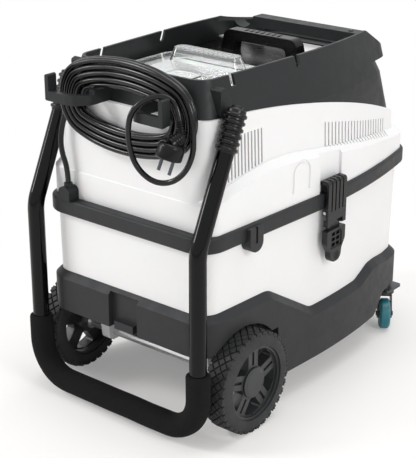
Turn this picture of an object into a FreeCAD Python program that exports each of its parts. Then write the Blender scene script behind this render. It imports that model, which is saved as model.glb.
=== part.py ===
import FreeCAD
import Part
import math
import os

# Spot extractor. Millimetres, Z up, +Y towards the casters, +X to the machine's right.
# While it is built, Y is measured from the rear axle; save() moves each piece to the part's own origin.

V = FreeCAD.Vector
X_AXIS = V(1, 0, 0)
Y_AXIS = V(0, 1, 0)
Z_AXIS = V(0, 0, 1)

# Body outline seen from above
half_width = 163.3
flank_slope = 0.045
flank_radius = 1050.0
widest_y = 205.0
body_rear = -81.2
body_front = 477.0
rear_corner = 39.5
front_corner = 45.0

# Heights of the stacked casings
front_skirt_z = 80.0
skirt_z = 49.0
low_deck_z = 100.0
rear_deck_z = 137.0
base_top_z = 197.0
base_dip_z = 133.5
base_front_z = 146.0
tank_top_z = 291.0
band_top_z = 315.6
overhang_z = 476.0
rim_h = 48.0

# Casing walls, insets from the outline, and fits
base_wall = 3.5
tank_wall = 3.0
shell_wall = 3.0
tray_wall = 4.5
seat_gap = 0.3
tank_inset_low = 11.8
tank_inset_top = 9.5
base_chamfer = 11.8
base_front_inset = 13.0
pod_inset = 5.2
pod_shoulder = 10.8
pod_corner = 20.0
head_inset_low = 16.0
head_inset_top = 22.5
head_front_inset = 25.0
tray_inset_mid = 27.5
tray_inset_rim = 41.5
tray_front = 425.0

# Rear wheels and axle
wheel_r = 78.0
wheel_inner_x = 148.0
tyre_w = 40.0
rim_r = 57.0
barrel_t = 4.0
axle_r = 8.0
axle_gap = 0.05
hub_r = 19.0
cap_r = 23.5
spoke_count = 5
arch_gap = 6.0
arch_step = 12.0
well_x = 143.0
bracket_x = 92.0
bracket_w = 17.0

# Casters
caster_r = 26.0
caster_w = 18.0
swivel_x = 130.0
swivel_y = 435.0
caster_trail = 22.0
caster_rest_turn = 37.0
caster_plate_z = 66.0
caster_plate_t = 4.0
caster_plate_size = 42.0
fork_t = 2.5
fork_gap = 1.0
caster_axle_r = 4.0
stem_r = 6.0

# Push handle
tube_r = 12.5
tube_t = 1.6
leg_x = 157.5
leg_y = -97.0
bar_z = 24.3
bar_corner = 57.0
lean_deg = 24.55
lean_z = 305.7
lean_bend = 60.0
grip_r = 18.0
grip_top_z = 122.0
sleeve_r = 13.9
sleeve_rib_r = 16.1
sleeve_len = 66.0
sleeve_ribs = 6
pivot_z = 479.0
stud_r = 4.0

# Cord
cord_r = 4.0
coil_x = 11.0
coil_z = 475.0
coil_a = 125.0
coil_b = 68.5
coil_pitch = 9.0
coil_end_turn = 74.0
coil_turns = 4
coil_back_y = -70.6
layer_step = 9.0

# Clear lid and recovery bucket
bucket_half = 98.0
bucket_rear = -30.0
bucket_front = 232.0
bucket_floor_z = 330.0
bucket_wall = 3.0
bucket_taper = 8.0
ledge_z = 482.0
ledge_w = 20.0
bucket_play = 0.8
flange_t = 4.0
flange_front = 302.0
mouth_half = 94.0
mouth_rear = -26.0
mouth_front = 146.0
collar_h = 5.0
gasket_h = 2.5
lid_half = 103.0
lid_rear = -34.0
lid_front = 155.0
lid_t = 2.5
lid_corner = 24.0

# Latches, one each side
latch_y = 203.0
latch_w = 48.0
latch_pivot_z = 284.0
latch_hook_z = 266.0
latch_tip_z = 203.0
latch_top_z = 333.0

# Inner works
motor_y = 315.0
motor_r = 55.0
motor_low_z = 322.0
motor_h = 74.0
duct_r = 19.0
duct_t = 2.0
duct_y = 192.0
duct_z = 452.0
float_r = 16.0

axle_z = wheel_r
lean = math.radians(lean_deg)
pivot_y = leg_y + (pivot_z - lean_z) * math.tan(lean)
grip_rear = leg_y - grip_r
origin_y = (body_front + grip_rear) / 2
base_front = body_front - base_front_inset
pod_front = body_front - pod_inset
head_rear = body_rear + head_inset_low
arch_r = wheel_r + arch_gap
deck_z = ledge_z + flange_t
flank_x = half_width + flank_slope * widest_y - flank_slope ** 2 * flank_radius / 2
rim_z = overhang_z + rim_h

os.makedirs("parts", exist_ok=True)


# Helpers

def save(node, *solids):
    shape = solids[0] if len(solids) == 1 else Part.makeCompound(list(solids))
    shape = shape.copy()
    shape.translate(V(0, -origin_y, 0))
    print(node, "solids", len(shape.Solids), "valid", shape.isValid(), "volume", round(shape.Volume / 1000, 2))
    shape.exportStep("parts/" + node + ".step")


def mirrored(shape):
    return shape.mirror(V(0, 0, 0), X_AXIS)


def box(x0, x1, y0, y1, z0, z1):
    return Part.makeBox(x1 - x0, y1 - y0, z1 - z0, V(x0, y0, z0))


def rod(start, direction, radius, length):
    return Part.makeCylinder(radius, length, start, direction)


def ring(start, direction, outer, inner, length):
    return rod(start, direction, outer, length).cut(rod(start, direction, inner, length))


def rounded_wire(corners, radii):
    # Closed outline through the corners, each rounded by an arc tangent to its two sides
    if not isinstance(radii, (list, tuple)):
        radii = [radii] * len(corners)
    count = len(corners)
    spans = []
    for i, corner in enumerate(corners):
        back = (corners[i - 1] - corner).normalize()
        ahead = (corners[(i + 1) % count] - corner).normalize()
        half = back.getAngle(ahead) / 2
        if radii[i] <= 0 or abs(half - math.pi / 2) < 1e-6:
            spans.append((corner, None, corner))
            continue
        reach = radii[i] / math.tan(half)
        centre = corner + (back + ahead).normalize() * (radii[i] / math.sin(half))
        middle = centre + (corner - centre).normalize() * radii[i]
        spans.append((corner + back * reach, middle, corner + ahead * reach))
    edges = []
    for i, (start, middle, end) in enumerate(spans):
        if middle is not None:
            edges.append(Part.Arc(start, middle, end).toShape())
        following = spans[(i + 1) % count][0]
        if (following - end).Length > 1e-6:
            edges.append(Part.LineSegment(end, following).toShape())
    return Part.Wire(edges)


def prism(corners, radii, direction):
    return Part.Face(rounded_wire(corners, radii)).extrude(direction)


def rounded_box(x0, x1, y0, y1, z0, z1, radius):
    corners = [V(x0, y0, z0), V(x1, y0, z0), V(x1, y1, z0), V(x0, y1, z0)]
    return prism(corners, radius, Z_AXIS * (z1 - z0))


def side_prism(points, radii, x0, x1):
    corners = [V(x0, y, z) for y, z in points]
    return prism(corners, radii, X_AXIS * (x1 - x0))


def plan_wire(z, inset, rear, front, corner_r=rear_corner, front_r=front_corner, bend=flank_radius):
    # The body outline at height z: straight flanks, long side arcs, rounded corners
    turn = math.atan(flank_slope)
    half = half_width - inset / math.cos(turn)
    radius = bend - inset
    join_y = widest_y - radius * math.sin(turn)
    join_x = half + flank_slope * join_y
    centre = V(join_x - radius * math.cos(turn), widest_y, z)
    rear_c = V(half + flank_slope * (rear + corner_r) - corner_r / math.cos(turn), rear + corner_r, z)
    front_y = front - front_r
    front_x = centre.x + math.sqrt((radius - front_r) ** 2 - (front_y - widest_y) ** 2)
    front_c = V(front_x, front_y, z)
    out = (front_c - centre).normalize()
    flank_dir = V(math.cos(turn), -math.sin(turn), 0)
    p_rear = V(rear_c.x, rear, z)
    p_flank = rear_c + flank_dir * corner_r
    p_join = centre + flank_dir * radius
    p_corner = centre + out * radius
    p_front = V(front_c.x, front, z)
    m_rear = rear_c + (flank_dir - Y_AXIS).normalize() * corner_r
    m_side = centre + (flank_dir + out).normalize() * radius
    m_front = front_c + (out + Y_AXIS).normalize() * front_r

    def left(p):
        return V(-p.x, p.y, p.z)

    right_side = [
        Part.Arc(p_rear, m_rear, p_flank),
        Part.LineSegment(p_flank, p_join),
        Part.Arc(p_join, m_side, p_corner),
        Part.Arc(p_corner, m_front, p_front),
    ]
    left_side = [
        Part.Arc(left(p_front), left(m_front), left(p_corner)),
        Part.Arc(left(p_corner), left(m_side), left(p_join)),
        Part.LineSegment(left(p_join), left(p_flank)),
        Part.Arc(left(p_flank), left(m_rear), left(p_rear)),
    ]
    curves = [Part.LineSegment(left(p_rear), p_rear)] + right_side
    curves += [Part.LineSegment(p_front, left(p_front))] + left_side
    return Part.Wire([curve.toShape() for curve in curves])


def plan_prism(z0, z1, inset, rear, front, corner_r=rear_corner, front_r=front_corner, bend=flank_radius):
    wire = plan_wire(z0, inset, rear, front, corner_r, front_r, bend)
    return Part.Face(wire).extrude(Z_AXIS * (z1 - z0))


def plan_loft(low, high):
    return Part.makeLoft([low, high], True, True)


def casing_loft(low, high, wall):
    # Each level is z, inset, rear, front, rear corner, front corner; the wall draws it inwards
    wires = []
    for z, inset, rear, front, corner_r, front_r in (low, high):
        shrunk = max(corner_r - wall, 6), max(front_r - wall, 6)
        wires.append(plan_wire(z, inset + wall, rear + wall, front - wall, *shrunk))
    return plan_loft(*wires)


def tangent_path(points, radii):
    # Open path of straight runs joined by tangent arcs
    edges = []
    start = points[0]
    for i in range(1, len(points) - 1):
        back = (points[i - 1] - points[i]).normalize()
        ahead = (points[i + 1] - points[i]).normalize()
        half = back.getAngle(ahead) / 2
        reach = radii[i - 1] / math.tan(half)
        centre = points[i] + (back + ahead).normalize() * (radii[i - 1] / math.sin(half))
        middle = centre + (points[i] - centre).normalize() * radii[i - 1]
        entry = points[i] + back * reach
        leave = points[i] + ahead * reach
        edges.append(Part.LineSegment(start, entry).toShape())
        edges.append(Part.Arc(entry, middle, leave).toShape())
        start = leave
    edges.append(Part.LineSegment(start, points[-1]).toShape())
    return Part.Wire(edges)


def pipe(path, radius):
    first = path.Edges[0]
    start = first.valueAt(first.FirstParameter)
    direction = first.tangentAt(first.FirstParameter)
    circle = Part.Wire([Part.Circle(start, direction, radius).toShape()])
    shell = Part.BRepOffsetAPI.MakePipeShell(path)
    shell.add(circle)
    shell.build()
    shell.makeSolid()
    return shell.shape()


def revolve_x(profile, radii=0):
    # Profile points are (x, r) about the X axis
    wire = rounded_wire([V(x, r, 0) for x, r in profile], radii)
    return Part.Face(wire).revolve(V(0, 0, 0), X_AXIS, 360)


def rim_chain(solid):
    # Edges where an upward face meets an upright wall
    chain = []
    for edge in solid.Edges:
        middle = edge.valueAt((edge.FirstParameter + edge.LastParameter) / 2)
        rises = []
        for face in solid.ancestorsOfType(edge, Part.Face):
            u, v = face.Surface.parameter(middle)
            rises.append(face.normalAt(u, v).z)
        if len(rises) == 2 and min(map(abs, rises)) < 0.2 and max(rises) > 0.5:
            chain.append(edge)
    return chain


# Base chassis: black tub on the wheels, its top edge dropping along the flanks

base_top = [
    (body_rear - 20, base_top_z),
    (64, base_top_z),
    (167, base_dip_z),
    (296, base_dip_z),
    (338, base_front_z + 3),
    (362, base_front_z + 3),
    (400, base_front_z - 2),
    (body_front + 20, base_front_z - 2),
]
base_low = [
    (body_front + 20, front_skirt_z),
    (388, front_skirt_z),
    (356, skirt_z),
    (arch_r - 6, skirt_z),
    (arch_r - 6, base_dip_z),
    (body_rear - 20, base_dip_z),
]
profile_radii = [0, 38, 30, 30, 34, 30, 24, 0, 0, 10, 14, 0, 0, 0]
base_outer = plan_prism(skirt_z - 10, base_top_z + 10, 0, body_rear, base_front, rear_corner + 1.5)
base_outer = base_outer.common(side_prism(base_top + base_low, profile_radii, -200, 200))

base_body = base_outer.makeChamfer(base_chamfer, rim_chain(base_outer))
tank_low = (low_deck_z, tank_inset_low, body_rear + tank_inset_low, base_front - tank_inset_low, 29, 34)
tank_high = (tank_top_z, tank_inset_top, body_rear + tank_inset_top, body_front - 16, 31, 37)
tank_nest = casing_loft(tank_low, tank_high, -seat_gap)
tank_nest = tank_nest.cut(box(-200, 200, -200, arch_r + arch_step, 0, rear_deck_z))
cavity = plan_prism(skirt_z - 10, low_deck_z - base_wall, base_wall, body_rear + base_wall, base_front - base_wall)
cavity = cavity.common(box(-200, 200, arch_r, 600, 0, 300))
arch_tool = rod(V(well_x, 0, axle_z), X_AXIS, arch_r, 60)
arch_lining = rod(V(well_x - base_wall, 0, axle_z), X_AXIS, arch_r + base_wall, 60)
arch_lining = arch_lining.common(base_outer).common(box(0, 300, -200, 200, axle_z, 400))
recess_depth = 9.4
recess = box(-28, 28, body_rear - 1, body_rear + recess_depth, 100, 190)
ledge = box(-18.3, 18.3, body_rear + 1, body_rear + recess_depth, base_dip_z, 146)
base_body = base_body.cut(tank_nest).cut(cavity)
base_body = base_body.fuse(arch_lining).fuse(mirrored(arch_lining))
base_body = base_body.cut(arch_tool).cut(mirrored(arch_tool)).cut(recess).fuse(ledge)
boss_half = caster_plate_size / 2 + 3
caster_boss = rounded_box(swivel_x - boss_half, swivel_x + boss_half, swivel_y - boss_half, swivel_y + boss_half,
                          caster_plate_z + caster_plate_t, low_deck_z - base_wall, 8)
boss_limit = plan_prism(0, low_deck_z, base_wall, body_rear, base_front - base_wall)
caster_boss = caster_boss.common(boss_limit)
base_body = base_body.fuse(caster_boss).fuse(mirrored(caster_boss))
save("base_chassis", base_body.removeSplitter())


# Solution tank: white bin seated in the base, deeper in front of the wheel wells

step_y = arch_r + arch_step + seat_gap
well_clear = arch_r + base_wall + seat_gap
well_face = well_x - base_wall - seat_gap


def tank_space(wall):
    # The tank's body drawn inwards by its wall
    low = (tank_low[0] + wall,) + tank_low[1:]
    high = (tank_high[0] - wall,) + tank_high[1:]
    space = casing_loft(low, high, wall)
    space = space.cut(box(-200, 200, -200, step_y + wall, 0, rear_deck_z + wall))
    well = rod(V(well_face - wall, 0, axle_z), X_AXIS, well_clear + wall, 60)
    return space.cut(well).cut(mirrored(well))


tank_mouth = plan_prism(tank_top_z - 10, tank_top_z + 1, 28, body_rear + 28, body_front - 34, 14, 20)
tank_body = tank_space(0).cut(tank_space(tank_wall)).cut(tank_mouth)
save("solution_tank", tank_body)

# Tank seal and band frame: the black rim between tank and head, with the head's floor plate

seal_out = 13.0
seal_in = 24.0
seal_h = 3.0


def offset_prism(z0, z1, inset):
    return plan_prism(z0, z1, inset, body_rear + inset, body_front - inset,
                      max(rear_corner - inset, 8), max(front_corner - inset, 8))


seal = offset_prism(tank_top_z, tank_top_z + seal_h, seal_out).cut(
    offset_prism(tank_top_z - 1, tank_top_z + seal_h + 1, seal_in))
save("tank_seal", seal.common(plan_prism(tank_top_z, tank_top_z + 9, 0, body_rear, body_front - 18)))

band_round = 4.0
band_plate_t = 4.0
band_lip = 12.0
band_sharp = offset_prism(tank_top_z, band_top_z, 0)
band_edges = [edge for edge in band_sharp.Edges if abs(edge.Vertexes[0].Z - edge.Vertexes[-1].Z) < 0.01]
band_outer = band_sharp.makeFillet(band_round, band_edges)
band_hollow = offset_prism(tank_top_z - 1, band_top_z - band_plate_t, band_lip)
band_flange = offset_prism(tank_top_z + seal_h, tank_top_z + 9, band_lip - 1).cut(
    offset_prism(tank_top_z, tank_top_z + 10, seal_in + 2))
save("band_frame", band_outer.cut(band_hollow).fuse(band_flange))

# Motor housing: white head with flared pods along both sides

arc_ys = (-100.0, 165.0, 480.0)
arc_top_z = 474.0
arc_start_y = -70.0
arc_slope = -0.0139
arc_bend = 3.94e-4
head_loft_z = 480.0
head_front_low = body_front - head_front_inset
head_front_top = head_front_low - 3


def head_top_at(y):
    run = y - arc_start_y
    return arc_top_z - arc_slope * run - arc_bend * run * run


def core_inset(z):
    share = (z - band_top_z) / (head_loft_z - band_top_z)
    return head_inset_low + share * (head_inset_top - head_inset_low)


def under_arc(drop):
    # Everything below the swept line where the white head meets the black tray
    start, middle, end = [V(-220, y, head_top_at(y) - drop) for y in arc_ys]
    top = Part.Arc(start, middle, end).toShape()
    low_end = V(-220, arc_ys[2], 250)
    low_start = V(-220, arc_ys[0], 250)
    sides = [Part.makeLine(end, low_end), Part.makeLine(low_end, low_start), Part.makeLine(low_start, start)]
    return Part.Face(Part.Wire([top] + sides)).extrude(X_AXIS * 440)


core_low = (band_top_z, head_inset_low, head_rear, head_front_low, 28, 34)
core_high = (head_loft_z, head_inset_top, head_rear + 4, head_front_top, 28, 34)
core = casing_loft(core_low, core_high, 0).common(under_arc(0))
crease = [(-100, 349.5), (75, 386.5), (480, 335.9)]
crease_bend = 350.0


def pod_solid(inset, lift, front, corner_r, front_r):
    prism_all = plan_prism(band_top_z, 420, inset, head_rear + inset - pod_inset, front, corner_r, front_r)
    line = [(y, z + lift) for y, z in crease] + [(480, 250), (-100, 250)]
    return prism_all.common(side_prism(line, [0, crease_bend, 0, 0, 0], -220, 220))


pods = pod_solid(pod_inset, pod_shoulder, pod_front, pod_corner, front_corner - pod_inset)
pods = pods.makeChamfer(pod_shoulder, rim_chain(pods))
pod_space = pod_solid(pod_inset + shell_wall, -shell_wall, pod_front - shell_wall, pod_corner - shell_wall, 36)
niche_depth = 5.0
niche_rear = latch_y - 26.5
niche_front = latch_y + 29


def latch_niche(wall):
    # The recess that each latch's keeper stands in, grown by the wall for the inside of the shell
    x = flank_x - pod_inset - niche_depth - wall
    niche = box(x, 220, niche_rear - wall, niche_front + wall, band_top_z - 1, 430)
    return niche.fuse(mirrored(niche))


pods = pods.cut(latch_niche(0))
pod_space = pod_space.cut(latch_niche(shell_wall))
core_space = casing_loft(core_low, core_high, shell_wall).common(under_arc(shell_wall))
floor_cut = casing_loft((band_top_z - 1,) + core_low[1:], (band_top_z + 5,) + core_low[1:], shell_wall)
head_outer = core.fuse(pods)
top_mouth = plan_prism(band_top_z + 20, 500, 28, body_rear + 30, 392, 20, 40)
motor_housing = head_outer.cut(core_space).cut(pod_space).cut(floor_cut).cut(top_mouth)

vent_w = 3.0
rear_vents = 11
rear_vent_y = -16.0
rear_vent_pitch = 7.2
front_vents = 21
front_vent_y = 204.0
front_vent_pitch = 9.35
slots = []
for i in range(rear_vents):
    y = rear_vent_y + i * rear_vent_pitch
    slots.append(box(126, 158, y, y + vent_w, 381 + 1.1 * i, 443))
for i in range(front_vents):
    y = front_vent_y + i * front_vent_pitch
    slots.append(box(122, 160, y, y + vent_w, 380 - 1.5 * i, 418 - 2.0 * i))
vents = Part.makeCompound(slots)
motor_housing = motor_housing.cut(vents).cut(mirrored(vents))

groove_depth = 1.8
groove_w = 4.5
emboss_y = 131.0
emboss_half = 21.0
skin = plan_prism(300, 420, 0, body_rear, body_front).cut(
    plan_prism(299, 421, pod_inset + groove_depth, body_rear, body_front))
emboss_low_z = 333.0
emboss_top_z = 380.0
arch_line = [(emboss_y - emboss_half, emboss_low_z), (emboss_y - emboss_half, emboss_top_z),
             (emboss_y + emboss_half, emboss_top_z), (emboss_y + emboss_half, emboss_low_z)]
arch_out = side_prism(arch_line, [0, emboss_half - 1, emboss_half - 1, 0], 0, 200)
arch_in = side_prism([(emboss_y - emboss_half + groove_w, emboss_low_z - 1),
                      (emboss_y - emboss_half + groove_w, emboss_top_z - groove_w),
                      (emboss_y + emboss_half - groove_w, emboss_top_z - groove_w),
                      (emboss_y + emboss_half - groove_w, emboss_low_z - 1)],
                     [0, emboss_half - groove_w - 1, emboss_half - groove_w - 1, 0], -1, 201)
emboss = skin.common(arch_out.cut(arch_in))
motor_housing = motor_housing.cut(emboss).cut(mirrored(emboss))

pivot_boss_r = 7.5
boss_relief = rod(V(0, pivot_y, pivot_z), X_AXIS, pivot_boss_r + seat_gap, 200)
motor_housing = motor_housing.cut(boss_relief).cut(mirrored(boss_relief))
save("motor_housing", motor_housing)

# Top tray: black skirt and raised rim, open in the middle, with the handle ears on its rear corners

skirt_fall = 0.4545
skirt_base_z = 384.0
skirt_base_y = 440.0
skirt_step = 0.5
skirt_low_z = 350.0
skirt_mid_z = 456.0
rail_back_y = 331.0
rail_front_y = 356.0
rail_h = 17.0
rail_z = rim_z - rail_h
nose_z = rim_z - 38


def skirt_front(z):
    return skirt_base_y - (z - skirt_base_z) * skirt_fall


def skirt_level(z, inset):
    rear = head_rear + 4 * (z - band_top_z) / (head_loft_z - band_top_z) + skirt_step
    return z, inset, rear, skirt_front(z), 28, 46


low_level = skirt_level(skirt_low_z, core_inset(skirt_low_z) + skirt_step)
mid_level = skirt_level(skirt_mid_z, core_inset(skirt_mid_z) + skirt_step)
neck_level = (overhang_z, tray_inset_mid, body_rear + tray_inset_mid, skirt_front(overhang_z), 30, 50)
brow_level = (overhang_z, tray_inset_mid, body_rear + tray_inset_mid, tray_front, 30, 38)
rim_level = (rim_z, tray_inset_rim, body_rear + tray_inset_rim, tray_front, 26, 38)
hollow_level = (overhang_z + 3,) + brow_level[1:]


def tray_solid(wall):
    parts = [casing_loft(low_level, mid_level, wall), casing_loft(mid_level, neck_level, wall)]
    if wall == 0:
        parts.append(casing_loft(brow_level, rim_level, 0))
        return parts[0].fuse(parts[1:]).cut(under_arc(0))
    throat = (overhang_z + 4,) + neck_level[1:]
    parts.append(casing_loft(neck_level, throat, wall))
    parts.append(casing_loft(hollow_level, rim_level, wall))
    return parts[0].fuse(parts[1:])


nose_cut = side_prism([(rail_front_y + 1, rim_z + 1), (tray_front - 5, nose_z), (tray_front + 20, nose_z),
                       (tray_front + 20, rim_z + 20), (rail_front_y + 1, rim_z + 20)], 0, -200, 200)
tray_outer = tray_solid(0).cut(nose_cut)
tray_hollow = tray_solid(tray_wall)
rail = tray_hollow.common(box(-200, 200, rail_back_y, rail_front_y, rail_z, rim_z))
saddle_x = -104.0
saddle_r = 21.5
saddle_block = tray_hollow.common(box(-200, saddle_x + saddle_r + 5, rail_back_y, rail_front_y, nose_z + 5, rim_z))
saddle = rod(V(saddle_x, rail_back_y - 40, rim_z + 1), Y_AXIS, saddle_r, 120)
ledge_ring = tray_hollow.common(box(-200, 200, -100, tray_front, ledge_z - 4, ledge_z))
ledge_inset = tray_inset_mid + tray_wall + ledge_w
inner_ledge = plan_prism(ledge_z - 5, ledge_z + 1, ledge_inset, bucket_rear - 6, tray_front - tray_wall - 9, 14, 26)
ledge_ring = ledge_ring.cut(inner_ledge)

ear_gap = 0.4
ear_x = leg_x - sleeve_rib_r - ear_gap
ear = side_prism([(pivot_y - 10, pivot_z), (pivot_y - 10, 513), (pivot_y - 2, 516), (pivot_y + 6, 511),
                  (pivot_y + 16, 486), (pivot_y + 16, pivot_z)], [0, 3, 4, 4, 3, 0], 110, ear_x)
ear = ear.fuse(rod(V(110, pivot_y, pivot_z), X_AXIS, pivot_boss_r, ear_x - 110))
ear = ear.cut(tray_hollow)
stud_start_x = 134.0
pivot_bore = rod(V(stud_start_x, pivot_y, pivot_z), X_AXIS, stud_r, 60)

top_tray = tray_outer.cut(tray_hollow).fuse([rail, saddle_block, ledge_ring, ear, mirrored(ear)])
top_tray = top_tray.cut(saddle).cut(pivot_bore).cut(mirrored(pivot_bore))

notch_w = 9.0
notch_h = 18.0
for notch_y in (12.0, 154.5):
    notch = side_prism([(notch_y, rim_z + 1), (notch_y, rim_z - notch_h), (notch_y + notch_w, rim_z - notch_h),
                        (notch_y + notch_w, rim_z + 1)], [0, 4.4, 4.4, 0], -200, 200)
    top_tray = top_tray.cut(notch)

# Front fittings on the tray skirt: hose inlet, solution coupler and switch panel

port_x = -55.0
port_z = 430.0
port_r = 22.0
port_bore_r = 19.0
port_back = 400.0
port_front = 444.0
coupler_x = 62.0
coupler_z = 420.0
coupler_r = 7.0
coupler_collar_r = 10.0
coupler_nut_y = 428.5
coupler_nut_w = 5.5
spigot_r = 6.0
spigot_len = 16.0
coupler_bore_r = 3.0
panel_z = 430.0
panel_half = 24.0
panel_h = 36.0
panel_face = 428.0
panel_back = 404.0
port_tool = rod(V(port_x, port_back, port_z), Y_AXIS, port_r, 60)
coupler_tool = rod(V(coupler_x, port_back, coupler_z), Y_AXIS, coupler_r, 60)
panel_solid = rounded_box(-panel_half, panel_half, panel_back, panel_face, panel_z - panel_h / 2,
                          panel_z + panel_h / 2, 0)
top_tray = top_tray.cut(port_tool).cut(coupler_tool).cut(panel_solid)
save("top_tray", top_tray)

# Front cover under the carry rail

cover_t = 3.0
cover_rear = 304.0
cover_line = [(cover_rear, 490), (344, 490), (tray_front, 468), (tray_front, 468 - cover_t),
              (344, 490 - cover_t), (cover_rear, 490 - cover_t)]
front_cover = tray_hollow.common(side_prism(cover_line, 0, -200, 200))
save("front_cover", front_cover.cut(ledge_ring))

# Recovery bucket hanging by its flange on the tray ledge


def bucket_solid(wall, top_z):
    wires = []
    for draw, z in ((bucket_taper, bucket_floor_z + wall), (0, top_z)):
        x = bucket_half - draw - wall
        corners = [V(-x, bucket_rear + draw + wall, z), V(x, bucket_rear + draw + wall, z),
                   V(x, bucket_front - draw - wall, z), V(-x, bucket_front - draw - wall, z)]
        wires.append(rounded_wire(corners, 24 - wall))
    return Part.makeLoft(wires, True, True)


rim_mouth_inset = tray_inset_rim + tray_wall
flange = plan_prism(ledge_z, deck_z, rim_mouth_inset + bucket_play, body_rear + rim_mouth_inset + bucket_play,
                    tray_front, 21, 20).common(box(-200, 200, -100, flange_front, ledge_z, deck_z))
collar = rounded_box(-mouth_half - 3, mouth_half + 3, mouth_rear - 3, mouth_front + 3, deck_z, deck_z + collar_h, 20)
mouth = rounded_box(-mouth_half, mouth_half, mouth_rear, mouth_front, ledge_z - 1, deck_z + collar_h + 1, 17)
duct_hole = rod(V(0, duct_y, duct_z), Y_AXIS, duct_r, 60)
inlet_r = 21.0
inlet_bore_r = 17.0
parting_y = bucket_front + 4
inlet_hole = rod(V(port_x, duct_y, port_z), Y_AXIS, inlet_bore_r, 60)
inlet_spigot = rod(V(port_x, bucket_front - 10, port_z), Y_AXIS, inlet_r, parting_y - bucket_front + 10)
bucket = bucket_solid(0, ledge_z).fuse(flange).cut(bucket_solid(bucket_wall, ledge_z)).fuse([collar, inlet_spigot])
bucket = bucket.cut(mouth).cut(duct_hole).cut(inlet_hole)
save("recovery_bucket", bucket)

gasket_z = deck_z + collar_h
gasket = rounded_box(-mouth_half - 3, mouth_half + 3, mouth_rear - 3, mouth_front + 3, gasket_z,
                     gasket_z + gasket_h, 20)
save("lid_gasket", gasket.cut(mouth.translated(V(0, 0, 5))))

# Clear lid: shallow dome with a cross ridge and a raised port pad

lid_z = gasket_z + gasket_h
ridge_half = 66.0
ridge_y = 114.0
ridge_w = 38.0
ridge_rise = 25.5
ridge_top_z = lid_z + ridge_rise
pad_x = 38.0
pad_y = 5.0
pad_half = 30.0
pad_rise = 17.5
pad_top_z = lid_z + pad_rise
dome_rise = 6.5
dome_z = lid_z + dome_rise


def lid_block(x, y, half_x, half_y, z0, z1, taper, corner, wall):
    wires = []
    for z, draw in ((z0, 0), (z1 - wall, taper)):
        hx = half_x - draw - wall
        hy = half_y - draw - wall
        corners = [V(x - hx, y - hy, z), V(x + hx, y - hy, z), V(x + hx, y + hy, z), V(x - hx, y + hy, z)]
        wires.append(rounded_wire(corners, corner - wall))
    return Part.makeLoft(wires, True, True)


def lid_solid(wall):
    middle_y = (lid_rear + lid_front) / 2
    base = lid_block(0, middle_y, lid_half, (lid_front - lid_rear) / 2, lid_z - 0.01 * (wall > 0), dome_z, 6,
                     lid_corner, wall)
    ridge = lid_block(0, ridge_y, ridge_half, ridge_w / 2, lid_z + 1, ridge_top_z, 7, 10, wall)
    pad = lid_block(pad_x, pad_y, pad_half, pad_half, lid_z + 1, pad_top_z, 4, 12, wall)
    return base.fuse([ridge, pad])


clear_lid = lid_solid(0).cut(lid_solid(lid_t))
lid_foot = rounded_box(-lid_half, lid_half, lid_rear, lid_front, lid_z, lid_z + 2, lid_corner)
lid_foot = lid_foot.cut(rounded_box(-mouth_half + 2, mouth_half - 2, mouth_rear + 2, mouth_front - 2, lid_z - 1,
                                    lid_z + 3, 15))
save("clear_lid", clear_lid.fuse(lid_foot))

# Carry handle: arch and its black base plate on the bucket flange

arch_y = 240.0
arch_half = 76.0
arch_h = 36.0
arch_top_z = deck_z + arch_h
arch_t = 20.0
arch_foot = 24.0
arch_bar_h = 16.0
grip_slots = 7
arch_out_line = [V(-arch_half, arch_y, deck_z), V(-arch_half + 8, arch_y, arch_top_z),
                 V(arch_half - 8, arch_y, arch_top_z), V(arch_half, arch_y, deck_z)]
arch_in_foot = arch_half - arch_foot
arch_in_top_z = arch_top_z - arch_bar_h
arch_in_line = [V(-arch_in_foot, arch_y, deck_z - 1), V(3 - arch_in_foot, arch_y, arch_in_top_z),
                V(arch_in_foot - 3, arch_y, arch_in_top_z), V(arch_in_foot, arch_y, deck_z - 1)]
arch = prism(arch_out_line, [0, 14, 14, 0], Y_AXIS * arch_t)
arch = arch.cut(prism(arch_in_line, [0, 8, 8, 0], Y_AXIS * arch_t))
slot_pitch = 10.5
for i in range(grip_slots):
    x = (i - (grip_slots - 1) / 2) * slot_pitch
    slot = rounded_box(x - 2.2, x + 2.2, arch_y + 4, arch_y + arch_t - 4, arch_top_z - 3, arch_top_z + 1, 2.1)
    arch = arch.cut(slot)
plate_t = 2.0
plate_gap = 4.0
base_plate = plan_prism(deck_z, deck_z + plate_t, rim_mouth_inset + bucket_play,
                        body_rear + rim_mouth_inset + bucket_play, tray_front, 21, 20)
base_plate = base_plate.common(box(-200, 200, lid_front + plate_gap, flange_front, deck_z, deck_z + plate_t))
save("carry_handle", arch.fuse(base_plate))

# Cord hooks on the tray's rear wall

arm_low_z = 474.0
arm_h = 14.0
arm_high_z = arm_low_z + arm_h
hook_rise = 24.0
hook_top_z = arm_high_z + hook_rise
arm_t = 9.0
arm_y = -112.0
post_in_x = 103.0
post_out_x = 110.0
post_rear_y = -95.5
root_x = 40.0
root_w = 10.0
coil_rest_gap = 0.5
inner_b = coil_b - coil_pitch * (coil_turns + 0.25)
coil_crest_drop = 7.1
root_top_z = coil_z + inner_b - cord_r - coil_rest_gap - coil_crest_drop
arm_line = [(root_x, -45), (root_x, -88), (root_x + 16, arm_y + 2), (root_x + 30, arm_y), (post_out_x, arm_y),
            (post_out_x, arm_y + arm_t), (root_x + 32, arm_y + arm_t), (root_x + 22, arm_y + arm_t + 2),
            (root_x + root_w, -86), (root_x + root_w, -45)]
arm = prism([V(x, y, arm_low_z) for x, y in arm_line], [0, 14, 10, 8, 2, 2, 8, 8, 8, 0],
            Z_AXIS * (arm_high_z - arm_low_z))
root = box(root_x, root_x + root_w, -84, -45, arm_low_z, root_top_z)
post_line = [(post_in_x, arm_low_z + 1), (post_in_x, hook_top_z), (post_out_x, hook_top_z),
             (post_out_x, arm_low_z + 1)]
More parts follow.
